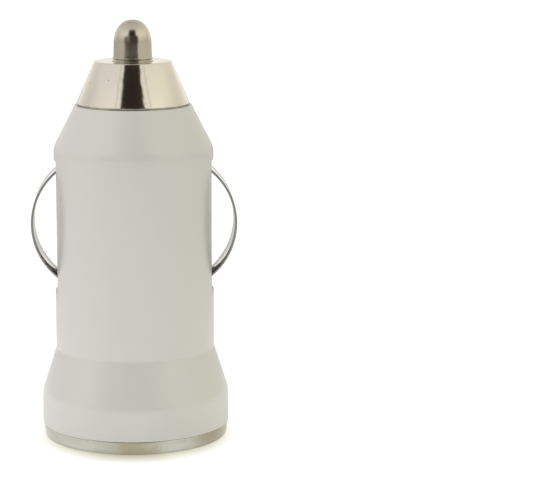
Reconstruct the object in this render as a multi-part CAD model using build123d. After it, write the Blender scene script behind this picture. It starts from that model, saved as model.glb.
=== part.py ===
from build123d import *
from math import atan2, cos, degrees, radians, sin, sqrt, tan
import os

# Lighter plug with one USB-A charging port, standing on its port end.
# Origin at the middle of the rim that it stands on. +Z runs up the plug to the centre pin,
# +X goes through the right side contact and +Y lies on the tongue side of the port.
# All sizes are millimetres.

# Outer form, stacked from the rim to the pin
RIM_HEIGHT = 1.75
SKIRT_LENGTH = 4.1
FLARE_LENGTH = 5.75
BARREL_LENGTH = 26.1
CONE_LENGTH = 5.45
NOSE_LENGTH = 5.6
PIN_PROUD = 5.25

RIM_DIAMETER = 24.0
RIM_TAPER = 0.2
SKIRT_STEP = 0.1
BARREL_DIAMETER = 20.5
CONE_TOP_DIAMETER = 14.95
NOSE_STEP = 0.225
NOSE_TOP_DIAMETER = 9.9

# Shell
SHELL_WALL = 1.5
CONE_END_WALL = 1.5
FLARE_FOOT_BLEND = 3.5
FLARE_TOP_BLEND = 1.2
SHOULDER_BLEND = 2.6
SHELL_EDGE_BREAK = 0.1
NECK_DIAMETER = 10.6
NECK_LENGTH = 2.2
NECK_BORE_DIAMETER = 8.4

# Nose ring and centre pin
NECK_CLEARANCE = 0.1
NOSE_TOP_WALL = 1.2
NOSE_CAVITY_DIAMETER = 8.2
NOSE_EDGE_BREAK = 0.1
NOSE_SEAM_BREAK = 0.1
NOSE_SEAM_HEIGHT = 0.16
NOSE_SEAM_DEPTH = 0.35
PIN_DIAMETER = 4.84
PIN_TAPER = 0.05
PIN_ROUND_LENGTH = 3.1
PIN_ROUND_FULLNESS = 2.2
PIN_ROUND_STEPS = 8
PIN_LIP_STEP = 0.155
PIN_LIP_LEVEL = 0.12
PIN_LIP_HEIGHT = 0.2
PIN_LIP_GROOVE = 0.12
PIN_FLANGE_DIAMETER = 7.2
PIN_FLANGE_THICKNESS = 0.8
PIN_BOSS_DIAMETER = 4.6
PIN_BOSS_LENGTH = 1.6
PIN_RUNNING_CLEARANCE = 0.075
PIN_STOP_CLEARANCE = 0.1

# Spring and terminal behind the pin
SPRING_MEAN_DIAMETER = 5.8
SPRING_WIRE = 0.5
SPRING_TURNS = 6
SPRING_END_CLEARANCE = 0.05
TERMINAL_DIAMETER = 7.2
TERMINAL_THICKNESS = 0.5
TERMINAL_LEG_WIDTH = 3.0
TERMINAL_LEG_LENGTH = 2.2
TERMINAL_BOARD_GAP = 0.2

# Side contacts
CONTACT_REACH = 13.2
CONTACT_WIDTH = 5.0
CONTACT_THICKNESS = 0.3
CONTACT_SHOULDER_GAP = 1.07
CONTACT_PORT_GAP = 1.21
CONTACT_BEND = 1.0
CONTACT_FOOT = 0.7
CONTACT_TAIL_DROP = 2.0
CONTACT_TAIL_BEND = 0.6
CONTACT_TAIL_LENGTH = 1.5
CONTACT_TRAVEL = 2.7
CONTACT_WALL_CLEARANCE = 0.2
CONTACT_BOARD_CLEARANCE = 0.15
WINDOW_SIDE_CLEARANCE = 0.15
WINDOW_NEST = 0.45
WINDOW_REAR_ROOM = 0.35
WINDOW_CORNER = 0.5

# End cap
FACE_RECESS = 1.0
FACE_THICKNESS = 1.2
RIM_FACE_WIDTH = 0.75
RIM_EDGE_BREAK = 0.3
RIM_LIP_BREAK = 0.15
SNAP_ARM_COUNT = 4
SNAP_ARM_ANGLE = 44.0
SNAP_ARM_WALL = 1.0
SNAP_ARM_LENGTH = 3.2
SNAP_BEAD = 0.22
SNAP_BEAD_HEIGHT = 0.8
SNAP_CLEARANCE = 0.12

# Sticker on the face
LABEL_THICKNESS = 0.12
LABEL_EDGE_GAP = 0.35
LABEL_PORT_GAP = 0.15
LABEL_ARCH_RADIUS = 120.0
LABEL_CORNER = 2.0

# Port
PORT_X = 0.4
PORT_Y = 0.5
PORT_WIDTH = 12.5
PORT_HEIGHT = 5.12
PORT_DEPTH = 14.0
PORT_WALL = 0.3
PORT_CORNER = 0.5
PORT_MARGIN = 0.2
PORT_FACE_GAP = 0.05
PORT_SEAM = 0.15
PORT_LEG_WIDTH = 1.6
PORT_LEG_LEVEL = 7.0
PORT_FINGER_WIDTH = 1.8
PORT_FINGER_LENGTH = 5.0
PORT_FINGER_START = 2.2
PORT_FINGER_SLOT = 0.35
PORT_FINGER_DIP = 0.45
PORT_FINGER_SPACING = 5.6
TONGUE_WIDTH = 11.1
TONGUE_THICKNESS = 1.84
TONGUE_WALL_GAP = 0.38
TONGUE_RECESS = 1.0
TONGUE_EDGE_BREAK = 0.25
INSULATOR_DEPTH = 9.0
INSULATOR_CLEARANCE = 0.05
USB_CONTACT_WIDTH = 1.0
USB_CONTACT_THICKNESS = 0.2
USB_CONTACT_OUTER_PITCH = 7.0
USB_CONTACT_INNER_PITCH = 2.0
USB_CONTACT_SETBACK = 1.0
USB_CONTACT_BEND = 0.5
USB_CONTACT_CLEARANCE = 0.05
USB_TAIL_WIDTH = 0.6

# Indicator lamp
LED_Y = -0.5
LED_DIAMETER = 3.0
LED_BODY_LENGTH = 3.5
LED_FLANGE_DIAMETER = 3.1
LED_FLANGE_THICKNESS = 0.8
LED_HOLE_CLEARANCE = 0.1
LED_LEAD_PITCH = 2.54
LED_LEAD_DIAMETER = 0.5
LED_LEAD_RISE = 1.0
LED_LEAD_STEP = 1.2
LED_LEAD_PORT_GAP = 0.3
LED_LEAD_BEND = 0.4

# Circuit board and its rails in the shell
BOARD_THICKNESS = 1.2
BOARD_ARM_GAP = 0.3
BOARD_NOSE_LEVEL = 1.5
BOARD_WALL_CLEARANCE = 0.2
BOARD_CORNER = 0.5
BOARD_SHOULDER_ABOVE_TAIL = 1.0
RAIL_HEIGHT = 1.0
RAIL_CLEARANCE = 0.1
RAIL_PORT_CLEARANCE = 0.15
RAIL_START = 0.4
RAIL_TAIL_CLEARANCE = 0.6
STOP_LENGTH = 1.0
HOLE_CLEARANCE = 0.15
LEAD_STUB = 0.8

# Parts on the board
LEAD_DIAMETER = 0.5
OUTPUT_CAP_DIAMETER = 5.0
OUTPUT_CAP_HEIGHT = 7.0
OUTPUT_CAP_PITCH = 2.0
INPUT_CAP_DIAMETER = 5.0
INPUT_CAP_HEIGHT = 7.5
INPUT_CAP_PITCH = 2.0
CAP_BEAD = 0.2
PART_GAP = 0.4
COIL_DIAMETER = 6.0
COIL_HEIGHT = 6.5
COIL_FLANGE = 1.0
COIL_CORE_DIAMETER = 3.0
COIL_WINDING_DIAMETER = 5.2
COIL_LAYERS = 5
COIL_CLEARANCE = 0.05
COIL_LEAD_PITCH = 4.4
CHIP_WIDTH = 3.9
CHIP_LENGTH = 4.9
CHIP_HEIGHT = 1.4
CHIP_STANDOFF = 0.12
CHIP_LEAD_PITCH = 1.27
CHIP_LEAD_WIDTH = 0.42
CHIP_LEAD_THICKNESS = 0.2
CHIP_SPAN = 6.0
CHIP_LEADS_PER_SIDE = 4
DIODE_LENGTH = 4.3
DIODE_WIDTH = 2.6
DIODE_HEIGHT = 2.2
DIODE_TAB_WIDTH = 1.4
DIODE_TAB_THICKNESS = 0.25
SMALL_PART_LENGTH = 2.0
SMALL_PART_WIDTH = 1.25
RESISTOR_HEIGHT = 0.5
CERAMIC_HEIGHT = 0.9
SMALL_PART_CAP = 0.35
SMALL_PART_STEP = 0.04

# Levels up the plug
RIM_TOP = RIM_HEIGHT
SKIRT_TOP = RIM_TOP + SKIRT_LENGTH
FLARE_TOP = SKIRT_TOP + FLARE_LENGTH
SHOULDER = FLARE_TOP + BARREL_LENGTH
CONE_TOP = SHOULDER + CONE_LENGTH
NECK_TOP = CONE_TOP + NECK_LENGTH
NOSE_TOP = CONE_TOP + NOSE_LENGTH
NOSE_LEDGE = NOSE_TOP - NOSE_TOP_WALL
FACE_BACK = FACE_RECESS + FACE_THICKNESS
PORT_FRONT = FACE_BACK + PORT_FACE_GAP
PORT_BACK = PORT_FRONT + PORT_DEPTH

# Radii
RIM_RADIUS = RIM_DIAMETER / 2
RIM_FOOT_RADIUS = RIM_RADIUS - RIM_TAPER
SKIRT_RADIUS = RIM_RADIUS + SKIRT_STEP
BARREL_RADIUS = BARREL_DIAMETER / 2
CONE_TOP_RADIUS = CONE_TOP_DIAMETER / 2
NOSE_BASE_RADIUS = CONE_TOP_RADIUS - NOSE_STEP
NECK_RADIUS = NECK_DIAMETER / 2
NECK_BORE_RADIUS = NECK_BORE_DIAMETER / 2
SKIRT_INNER_RADIUS = SKIRT_RADIUS - SHELL_WALL
BARREL_INNER_RADIUS = BARREL_RADIUS - SHELL_WALL
SPIGOT_RADIUS = SKIRT_INNER_RADIUS - SNAP_CLEARANCE
RECESS_RADIUS = RIM_FOOT_RADIUS - RIM_FACE_WIDTH
PIN_RADIUS = PIN_DIAMETER / 2
PIN_LIP_RADIUS = PIN_RADIUS + PIN_LIP_STEP

# The shell's inside runs parallel to its outside, so its corners sit a little lower
FLARE_SLOPE = atan2(SKIRT_RADIUS - BARREL_RADIUS, FLARE_LENGTH)
CONE_SLOPE = atan2(BARREL_RADIUS - CONE_TOP_RADIUS, CONE_LENGTH)
FLARE_DROP = SHELL_WALL * tan(FLARE_SLOPE / 2)
CONE_DROP = SHELL_WALL * tan(CONE_SLOPE / 2)
CONE_ROOF = CONE_TOP - CONE_END_WALL
CONE_ROOF_RADIUS = BARREL_INNER_RADIUS - (CONE_ROOF - SHOULDER + CONE_DROP) * tan(CONE_SLOPE)

# Pin, spring and terminal
PIN_TIP = NOSE_TOP + PIN_PROUD
PIN_FLANGE_TOP = NOSE_LEDGE - PIN_STOP_CLEARANCE
PIN_FLANGE_BOTTOM = PIN_FLANGE_TOP - PIN_FLANGE_THICKNESS
BOARD_NOSE_END = SHOULDER + BOARD_NOSE_LEVEL
TERMINAL_BOTTOM = BOARD_NOSE_END + TERMINAL_BOARD_GAP
TERMINAL_TOP = TERMINAL_BOTTOM + TERMINAL_THICKNESS

# Port, board and the parts that pass through the board
PORT_BOTTOM = PORT_Y - PORT_HEIGHT / 2
PORT_CEILING = PORT_Y + PORT_HEIGHT / 2
PORT_OUTER_WIDTH = PORT_WIDTH + 2 * PORT_WALL
PORT_LAMP_SIDE = PORT_X - PORT_OUTER_WIDTH / 2
TONGUE_TOP = PORT_CEILING - TONGUE_WALL_GAP
TONGUE_BOTTOM = TONGUE_TOP - TONGUE_THICKNESS
TONGUE_FRONT = PORT_FRONT + TONGUE_RECESS
INSULATOR_FRONT = PORT_FRONT + INSULATOR_DEPTH
BOARD_TOP = PORT_BOTTOM - PORT_WALL
BOARD_BOTTOM = BOARD_TOP - BOARD_THICKNESS
STUB_END = BOARD_BOTTOM - LEAD_STUB
USB_TAIL_LEVEL = PORT_BACK + USB_CONTACT_BEND
USB_CONTACT_OFFSETS = (
    -USB_CONTACT_OUTER_PITCH / 2,
    -USB_CONTACT_INNER_PITCH / 2,
    USB_CONTACT_INNER_PITCH / 2,
    USB_CONTACT_OUTER_PITCH / 2,
)

# Side contact: a bow between the port and the shoulder, with a foot behind the wall at each end
FRONT_BEND = SHOULDER - CONTACT_SHOULDER_GAP
TAIL_LEVEL = PORT_BACK + CONTACT_PORT_GAP
REAR_BEND = TAIL_LEVEL + CONTACT_TAIL_DROP
CONTACT_LEVEL = (FRONT_BEND + REAR_BEND) / 2
BEND_RISE = FRONT_BEND - CONTACT_LEVEL
CONTACT_HALF_WIDTH = CONTACT_WIDTH / 2
CONTACT_WALL_X = sqrt(BARREL_INNER_RADIUS**2 - CONTACT_HALF_WIDTH**2)
CONTACT_FOOT_X = CONTACT_WALL_X - CONTACT_WALL_CLEARANCE - CONTACT_THICKNESS / 2
BEND_CENTRE_X = CONTACT_FOOT_X + CONTACT_BEND
BOW_HEIGHT = CONTACT_REACH - CONTACT_THICKNESS / 2 - CONTACT_FOOT_X
BOW_RADIUS = ((BOW_HEIGHT - CONTACT_BEND)**2 + BEND_RISE**2 - CONTACT_BEND**2) / (2 * BOW_HEIGHT)
BOW_CENTRE_X = CONTACT_FOOT_X + BOW_HEIGHT - BOW_RADIUS
BOW_ANGLE = degrees(atan2(BEND_RISE, BEND_CENTRE_X - BOW_CENTRE_X))
WINDOW_LIMITS = (REAR_BEND - WINDOW_REAR_ROOM, FRONT_BEND - WINDOW_NEST)
TAIL_TRIM = BOARD_TOP + CONTACT_BOARD_CLEARANCE

# The board is wide between the rails and narrow where the contacts press in
BOARD_START = FACE_BACK + SNAP_ARM_LENGTH + BOARD_ARM_GAP
BOARD_SHOULDER = TAIL_LEVEL + BOARD_SHOULDER_ABOVE_TAIL
BOARD_HALF_WIDTH = sqrt(BARREL_INNER_RADIUS**2 - BOARD_BOTTOM**2) - BOARD_WALL_CLEARANCE
PRESSED_FOOT_X = CONTACT_FOOT_X - CONTACT_THICKNESS / 2 - CONTACT_TRAVEL
BOARD_NOSE_HALF_WIDTH = PRESSED_FOOT_X - CONTACT_WALL_CLEARANCE * 2

# The three tall parts share the length between the port's tails and the terminal's leg
TERMINAL_LEG_START = BOARD_NOSE_END - TERMINAL_LEG_LENGTH
TALL_PARTS_LENGTH = OUTPUT_CAP_DIAMETER + COIL_DIAMETER + INPUT_CAP_DIAMETER
TALL_PART_GAP = (TERMINAL_LEG_START - USB_TAIL_LEVEL - TALL_PARTS_LENGTH) / 4
OUTPUT_CAP_LEVEL = USB_TAIL_LEVEL + TALL_PART_GAP + OUTPUT_CAP_DIAMETER / 2
COIL_LEVEL = OUTPUT_CAP_LEVEL + (OUTPUT_CAP_DIAMETER + COIL_DIAMETER) / 2 + TALL_PART_GAP
INPUT_CAP_LEVEL = COIL_LEVEL + (COIL_DIAMETER + INPUT_CAP_DIAMETER) / 2 + TALL_PART_GAP
CHIP_LEVEL = (OUTPUT_CAP_LEVEL + COIL_LEVEL) / 2
DIODE_LEVEL = (COIL_LEVEL + INPUT_CAP_LEVEL) / 2
SMALL_PART_SIDE = INPUT_CAP_PITCH / 2 + LEAD_DIAMETER + SMALL_PART_LENGTH / 2 + PART_GAP
NOSE_PARTS_LEVEL = INPUT_CAP_LEVEL + SMALL_PART_WIDTH + PART_GAP * 3
LED_RESISTOR_LEVEL = PORT_FRONT + PORT_LEG_LEVEL + PORT_LEG_WIDTH * 2

# Lamp, midway between the port's side and the skirt's wall
LED_X = (PORT_LAMP_SIDE - SKIRT_INNER_RADIUS) / 2
LED_TIP = FACE_RECESS
LED_FLANGE_LEVEL = LED_TIP + LED_BODY_LENGTH
LED_BASE = LED_FLANGE_LEVEL + LED_FLANGE_THICKNESS
LED_LEAD_X = PORT_LAMP_SIDE - LED_LEAD_PORT_GAP - LED_LEAD_DIAMETER / 2
LED_LEADS = (
    (LED_Y - LED_LEAD_PITCH / 2, LED_BASE + LED_LEAD_RISE),
    (LED_Y + LED_LEAD_PITCH / 2, LED_BASE + LED_LEAD_RISE + LED_LEAD_STEP),
)


def turned(*corners):
    """Solid turned about Z from corners of (radius, height) or (radius, height, rounding)."""
    points = [corner[:2] for corner in corners]
    roundings = [corner[2] if len(corner) == 3 else 0 for corner in corners]
    outline = FilletPolyline(*points, radius=roundings, close=True)
    return revolve(Plane.XZ * make_face(outline), axis=Axis.Z)


def block(x_limits, y_limits, z_limits):
    """Box between the low and high limit on each axis."""
    limits = (x_limits, y_limits, z_limits)
    centre = [(low + high) / 2 for low, high in limits]
    size = [high - low for low, high in limits]
    return Pos(*centre) * Box(*size)


def about(centre, width):
    """Low and high limit of a width about a centre."""
    return (centre - width / 2, centre + width / 2)


def upright(radius, x, z, y_limits):
    """Round bar along Y, such as a lead or a hole through the board."""
    low, high = y_limits
    return Pos(x, (low + high) / 2, z) * Rot(90, 0, 0) * Cylinder(radius, high - low)


def standing(x, z):
    """Place a part that is modelled upright on Z so that it stands on the board."""
    return Pos(x, BOARD_TOP, z) * Rot(-90, 0, 0)


def hanging(x, z):
    """Place a part that is modelled upright on Z so that it sits under the board."""
    return Pos(x, BOARD_BOTTOM, z) * Rot(90, 0, 0)


def shell_outside():
    """Outer form of the shell with its front neck."""
    return turned(
        (0, RIM_TOP),
        (SKIRT_RADIUS, RIM_TOP, SHELL_EDGE_BREAK),
        (SKIRT_RADIUS, SKIRT_TOP, FLARE_FOOT_BLEND),
        (BARREL_RADIUS, FLARE_TOP, FLARE_TOP_BLEND),
        (BARREL_RADIUS, SHOULDER, SHOULDER_BLEND),
        (CONE_TOP_RADIUS, CONE_TOP, NOSE_SEAM_BREAK),
        (NECK_RADIUS, CONE_TOP),
        (NECK_RADIUS, NECK_TOP),
        (0, NECK_TOP),
    )


def shell_inside():
    """Hollow of the shell, parallel to its outer form."""
    return turned(
        (0, RIM_TOP),
        (SKIRT_INNER_RADIUS, RIM_TOP),
        (SKIRT_INNER_RADIUS, SKIRT_TOP - FLARE_DROP),
        (BARREL_INNER_RADIUS, FLARE_TOP - FLARE_DROP),
        (BARREL_INNER_RADIUS, SHOULDER - CONE_DROP),
        (CONE_ROOF_RADIUS, CONE_ROOF),
        (NECK_BORE_RADIUS, CONE_ROOF),
        (NECK_BORE_RADIUS, NECK_TOP),
        (0, NECK_TOP),
    )


def snap_ring(growth):
    """Ring that the snap beads fill, grown by a clearance for their groove."""
    top = FACE_BACK + SNAP_ARM_LENGTH - SNAP_BEAD + growth
    bottom = top - SNAP_BEAD_HEIGHT - 2 * growth
    inner = SPIGOT_RADIUS - SNAP_ARM_WALL / 2
    outer = SPIGOT_RADIUS + SNAP_BEAD + growth
    slope = outer - SPIGOT_RADIUS
    return turned(
        (inner, bottom),
        (SPIGOT_RADIUS, bottom),
        (outer, bottom + slope),
        (outer, top - slope),
        (SPIGOT_RADIUS, top),
        (inner, top),
    )


def contact_window():
    """Cutter for both windows that the side contacts stand in."""
    low, high = WINDOW_LIMITS
    outline = RectangleRounded(CONTACT_WIDTH + 2 * WINDOW_SIDE_CLEARANCE, high - low, WINDOW_CORNER)
    cutter = extrude(Plane.YZ * outline, amount=SKIRT_RADIUS, both=True)
    return Pos(0, 0, (low + high) / 2) * cutter


def board_rails():
    """Rails that hold the board's edges, and the stops that its shoulders meet."""
    rail_limits = (FLARE_TOP + RAIL_START, TAIL_LEVEL - RAIL_TAIL_CLEARANCE)
    stop_start = BOARD_SHOULDER + RAIL_CLEARANCE
    inner_x = abs(PORT_X) + PORT_OUTER_WIDTH / 2 + RAIL_PORT_CLEARANCE
    x_limits = (inner_x, BARREL_RADIUS)
    above = BOARD_TOP + RAIL_CLEARANCE
    below = BOARD_BOTTOM - RAIL_CLEARANCE
    stop_top = -CONTACT_HALF_WIDTH - CONTACT_WALL_CLEARANCE
    upper = block(x_limits, (above, above + RAIL_HEIGHT), rail_limits)
    lower = block(x_limits, (below - RAIL_HEIGHT, below), (rail_limits[0], stop_start))
    stop = block(x_limits, (below - RAIL_HEIGHT, stop_top), (stop_start, stop_start + STOP_LENGTH))
    right = upper + lower + stop
    both = right + mirror(right, about=Plane.YZ)
    root = Cylinder(BARREL_INNER_RADIUS + SHELL_WALL / 2, 2 * SHOULDER)
    return both & root


def body_shell():
    """White moulded shell: skirt, flare, barrel, front cone and neck."""
    shell = shell_outside() - shell_inside()
    shell -= snap_ring(SNAP_CLEARANCE)
    shell -= contact_window()
    return shell + board_rails()


def nose_ring():
    """Plated cone on the neck, with a shadow gap at its foot and a ledge that keeps the pin in."""
    bore = NECK_RADIUS + NECK_CLEARANCE
    bore_top = NECK_TOP + NECK_CLEARANCE
    cavity = NOSE_CAVITY_DIAMETER / 2
    hole = PIN_LIP_RADIUS + PIN_RUNNING_CLEARANCE
    seam = NOSE_BASE_RADIUS - NOSE_SEAM_DEPTH
    seam_top = CONE_TOP + NOSE_SEAM_HEIGHT
    return turned(
        (bore, CONE_TOP),
        (seam, CONE_TOP),
        (seam, seam_top),
        (NOSE_BASE_RADIUS, seam_top, NOSE_SEAM_BREAK),
        (NOSE_TOP_DIAMETER / 2, NOSE_TOP, NOSE_EDGE_BREAK),
        (hole, NOSE_TOP),
        (hole, NOSE_LEDGE),
        (cavity, NOSE_LEDGE),
        (cavity, bore_top),
        (bore, bore_top),
    )


def center_pin():
    """Round-nosed pin with a fine lip, a flange that stays behind the ledge and a spring boss."""
    flange = PIN_FLANGE_DIAMETER / 2
    boss = PIN_BOSS_DIAMETER / 2
    boss_end = PIN_FLANGE_BOTTOM - PIN_BOSS_LENGTH
    lip_bottom = NOSE_TOP + PIN_LIP_LEVEL
    lip_top = lip_bottom + PIN_LIP_HEIGHT
    groove = PIN_LIP_RADIUS - PIN_LIP_GROOVE
    shank = turned(
        (0, boss_end),
        (boss, boss_end, PIN_LIP_HEIGHT),
        (boss, PIN_FLANGE_BOTTOM),
        (flange, PIN_FLANGE_BOTTOM),
        (flange, PIN_FLANGE_TOP),
        (PIN_LIP_RADIUS, PIN_FLANGE_TOP),
        (PIN_LIP_RADIUS, lip_bottom - PIN_LIP_HEIGHT),
        (groove, lip_bottom - PIN_LIP_HEIGHT),
        (groove, lip_bottom),
        (PIN_LIP_RADIUS, lip_bottom),
        (PIN_LIP_RADIUS, lip_top),
        (0, lip_top),
    )
    round_level = PIN_TIP - PIN_ROUND_LENGTH
    foot = PIN_RADIUS + PIN_TAPER
    bar = turned((0, lip_top), (foot, lip_top), (PIN_RADIUS, round_level), (0, round_level))
    return shank + bar + pin_round_end(round_level)


def pin_round_end(low):
    """Rounded end of the pin, fuller than an ellipse so that it runs into the bar without a step."""
    power = 2 / PIN_ROUND_FULLNESS
    points = []
    for step in range(PIN_ROUND_STEPS):
        turn = radians(90 * step / PIN_ROUND_STEPS)
        rise = PIN_ROUND_LENGTH * sin(turn) ** power
        points.append((PIN_RADIUS * cos(turn) ** power, low + rise))
    points.append((0, PIN_TIP))
    curve = Spline(*points, tangents=((0, 1), (-1, 0)))
    sides = Polyline((0, PIN_TIP), (0, low), (PIN_RADIUS, low))
    return revolve(Plane.XZ * make_face(curve + sides), axis=Axis.Z)


def pin_spring():
    """Compression spring between the terminal and the pin's flange."""
    ends = SPRING_WIRE / 2 + SPRING_END_CLEARANCE
    low = TERMINAL_TOP + ends
    height = PIN_FLANGE_BOTTOM - ends - low
    path = Helix(height / SPRING_TURNS, height, SPRING_MEAN_DIAMETER / 2, center=(0, 0, low))
    section = Plane(origin=path @ 0, z_dir=path % 0) * Circle(SPRING_WIRE / 2)
    return sweep(section, path=path, is_frenet=True)


def positive_terminal():
    """Disc under the spring, with a leg bent down on to the board."""
    disc = Pos(0, 0, TERMINAL_BOTTOM) * Cylinder(
        TERMINAL_DIAMETER / 2, TERMINAL_THICKNESS, align=(Align.CENTER, Align.CENTER, Align.MIN)
    )
    leg = block(
        about(0, TERMINAL_LEG_WIDTH),
        (BOARD_TOP, BOARD_TOP + TERMINAL_THICKNESS),
        (TERMINAL_LEG_START, TERMINAL_BOTTOM),
    )
    return disc + leg


def side_contact():
    """Right side contact: a bowed strip with a foot at each end and a tail on the board."""
    tail_bend_x = CONTACT_FOOT_X - CONTACT_TAIL_BEND
    tail_bend_z = TAIL_LEVEL + CONTACT_TAIL_BEND
    path = [
        Line((tail_bend_x - CONTACT_TAIL_LENGTH, TAIL_LEVEL), (tail_bend_x, TAIL_LEVEL)),
        CenterArc((tail_bend_x, tail_bend_z), CONTACT_TAIL_BEND, -90, 90),
        Line((CONTACT_FOOT_X, tail_bend_z), (CONTACT_FOOT_X, REAR_BEND)),
        CenterArc((BEND_CENTRE_X, REAR_BEND), CONTACT_BEND, 180, -BOW_ANGLE),
        CenterArc((BOW_CENTRE_X, CONTACT_LEVEL), BOW_RADIUS, -BOW_ANGLE, 2 * BOW_ANGLE),
        CenterArc((BEND_CENTRE_X, FRONT_BEND), CONTACT_BEND, 180 + BOW_ANGLE, -BOW_ANGLE),
        Line((CONTACT_FOOT_X, FRONT_BEND), (CONTACT_FOOT_X, FRONT_BEND + CONTACT_FOOT)),
    ]
    ribbon = trace(path, CONTACT_THICKNESS)
    strip = extrude(Plane.XZ * ribbon, amount=CONTACT_HALF_WIDTH, both=True)
    trim = block(
        (0, CONTACT_REACH),
        (-CONTACT_WIDTH, TAIL_TRIM),
        (TAIL_LEVEL - CONTACT_WIDTH, REAR_BEND),
    )
    return strip - trim


def port_tube(width, height, corner, z_limits):
    """Rounded bar along Z in the middle of the port."""
    low, high = z_limits
    outline = RectangleRounded(width, height, corner)
    return Pos(PORT_X, PORT_Y, low) * extrude(outline, amount=high - low)


def end_cap():
    """Plated cap: rim, recessed face with the port and lamp cut-outs, and snap arms."""
    cap = turned(
        (0, FACE_RECESS),
        (RECESS_RADIUS, FACE_RECESS),
        (RECESS_RADIUS, 0, RIM_LIP_BREAK),
        (RIM_FOOT_RADIUS, 0, RIM_EDGE_BREAK),
        (RIM_RADIUS, RIM_TOP, SHELL_EDGE_BREAK),
        (SPIGOT_RADIUS, RIM_TOP),
        (SPIGOT_RADIUS, FACE_BACK),
        (0, FACE_BACK),
    )
    cap += snap_arms()
    cut_width = PORT_WIDTH + 2 * PORT_MARGIN
    cut_height = PORT_HEIGHT + 2 * PORT_MARGIN
    cap -= port_tube(cut_width, cut_height, PORT_CORNER, (0, FACE_BACK))
    lamp_hole = Cylinder(LED_DIAMETER / 2 + LED_HOLE_CLEARANCE, 2 * FACE_BACK)
    return cap - Pos(LED_X, LED_Y, FACE_BACK) * lamp_hole


def snap_arms():
    """Arms that hold the cap in the skirt, spread evenly with gaps at the axes."""
    inner = SPIGOT_RADIUS - SNAP_ARM_WALL
    top = FACE_BACK + SNAP_ARM_LENGTH
    ring = turned((inner, FACE_BACK), (SPIGOT_RADIUS, FACE_BACK), (SPIGOT_RADIUS, top), (inner, top))
    ring += snap_ring(0)
    half = radians(SNAP_ARM_ANGLE / 2)
    far = 2 * SKIRT_RADIUS
    step = 360 / SNAP_ARM_COUNT
    spread = [(far * cos(angle), far * sin(angle)) for angle in (-half, half)]
    wedge = extrude(make_face(Polyline((0, 0), *spread, close=True)), amount=SKIRT_TOP)
    wedges = [Rot(0, 0, step * (index + 0.5)) * wedge for index in range(SNAP_ARM_COUNT)]
    return ring & Part() + wedges


def face_label():
    """Bare sticker that fills the face below the port."""
    top = PORT_BOTTOM - PORT_MARGIN - LABEL_PORT_GAP
    disc = Circle(RECESS_RADIUS - LABEL_EDGE_GAP)
    outline = disc & Pos(0, top - LABEL_ARCH_RADIUS) * Circle(LABEL_ARCH_RADIUS)
    outline = fillet(outline.vertices(), LABEL_CORNER)
    return Pos(0, 0, FACE_RECESS - LABEL_THICKNESS) * extrude(outline, amount=LABEL_THICKNESS)


def port_fingers():
    """Sprung fingers of the port's board-side wall, and the slots that free them."""
    start = PORT_FRONT + PORT_FINGER_START
    end = start + PORT_FINGER_LENGTH
    middle = PORT_BOTTOM - PORT_WALL / 2
    bent = Polyline((middle, end), (middle + PORT_FINGER_DIP, start + PORT_FINGER_DIP), (middle, start))
    finger = extrude(Plane.YZ * trace(bent, PORT_WALL), amount=PORT_FINGER_WIDTH / 2, both=True)
    slot = block(
        about(0, PORT_FINGER_WIDTH + 2 * PORT_FINGER_SLOT),
        (BOARD_TOP, PORT_BOTTOM),
        (start - PORT_FINGER_SLOT, end),
    )
    places = [Pos(PORT_X + side * PORT_FINGER_SPACING / 2, 0, 0) for side in (-1, 1)]
    return [place * finger for place in places], [place * slot for place in places]


def usb_shell():
    """Folded metal tube of the port, with a seam on the board side and two legs."""
    tube_limits = (PORT_FRONT, PORT_BACK)
    shell = port_tube(
        PORT_OUTER_WIDTH, PORT_HEIGHT + 2 * PORT_WALL, PORT_CORNER + PORT_WALL, tube_limits
    )
    shell -= port_tube(PORT_WIDTH, PORT_HEIGHT, PORT_CORNER, tube_limits)
    fingers, slots = port_fingers()
    shell = shell - slots + fingers
    shell -= block(about(PORT_X, PORT_SEAM), (BOARD_TOP, PORT_BOTTOM), tube_limits)
    leg_limits = about(PORT_FRONT + PORT_LEG_LEVEL, PORT_LEG_WIDTH)
    for side in (-1, 1):
        outer_x = PORT_X + side * PORT_OUTER_WIDTH / 2
        inner_x = outer_x - side * PORT_WALL
        shell += block(sorted((inner_x, outer_x)), (STUB_END, PORT_Y), leg_limits)
    return shell


def usb_insulator():
    """Tongue of the port and the block behind it, with channels for the contacts."""
    width = PORT_WIDTH - 2 * INSULATOR_CLEARANCE
    height = PORT_HEIGHT - 2 * INSULATOR_CLEARANCE
    back = port_tube(width, height, PORT_CORNER, (INSULATOR_FRONT, PORT_BACK))
    tongue = block(
        about(PORT_X, TONGUE_WIDTH), (TONGUE_BOTTOM, TONGUE_TOP), (TONGUE_FRONT, INSULATOR_FRONT)
    )
    tongue = chamfer(tongue.faces().sort_by(Axis.Z)[0].edges(), TONGUE_EDGE_BREAK)
    body = back + tongue
    for offset in USB_CONTACT_OFFSETS:
        body -= block(
            about(PORT_X + offset, USB_CONTACT_WIDTH + 2 * USB_CONTACT_CLEARANCE),
            (TONGUE_BOTTOM - USB_CONTACT_THICKNESS - USB_CONTACT_CLEARANCE, TONGUE_BOTTOM),
            (INSULATOR_FRONT, PORT_BACK),
        )
    return body


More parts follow.
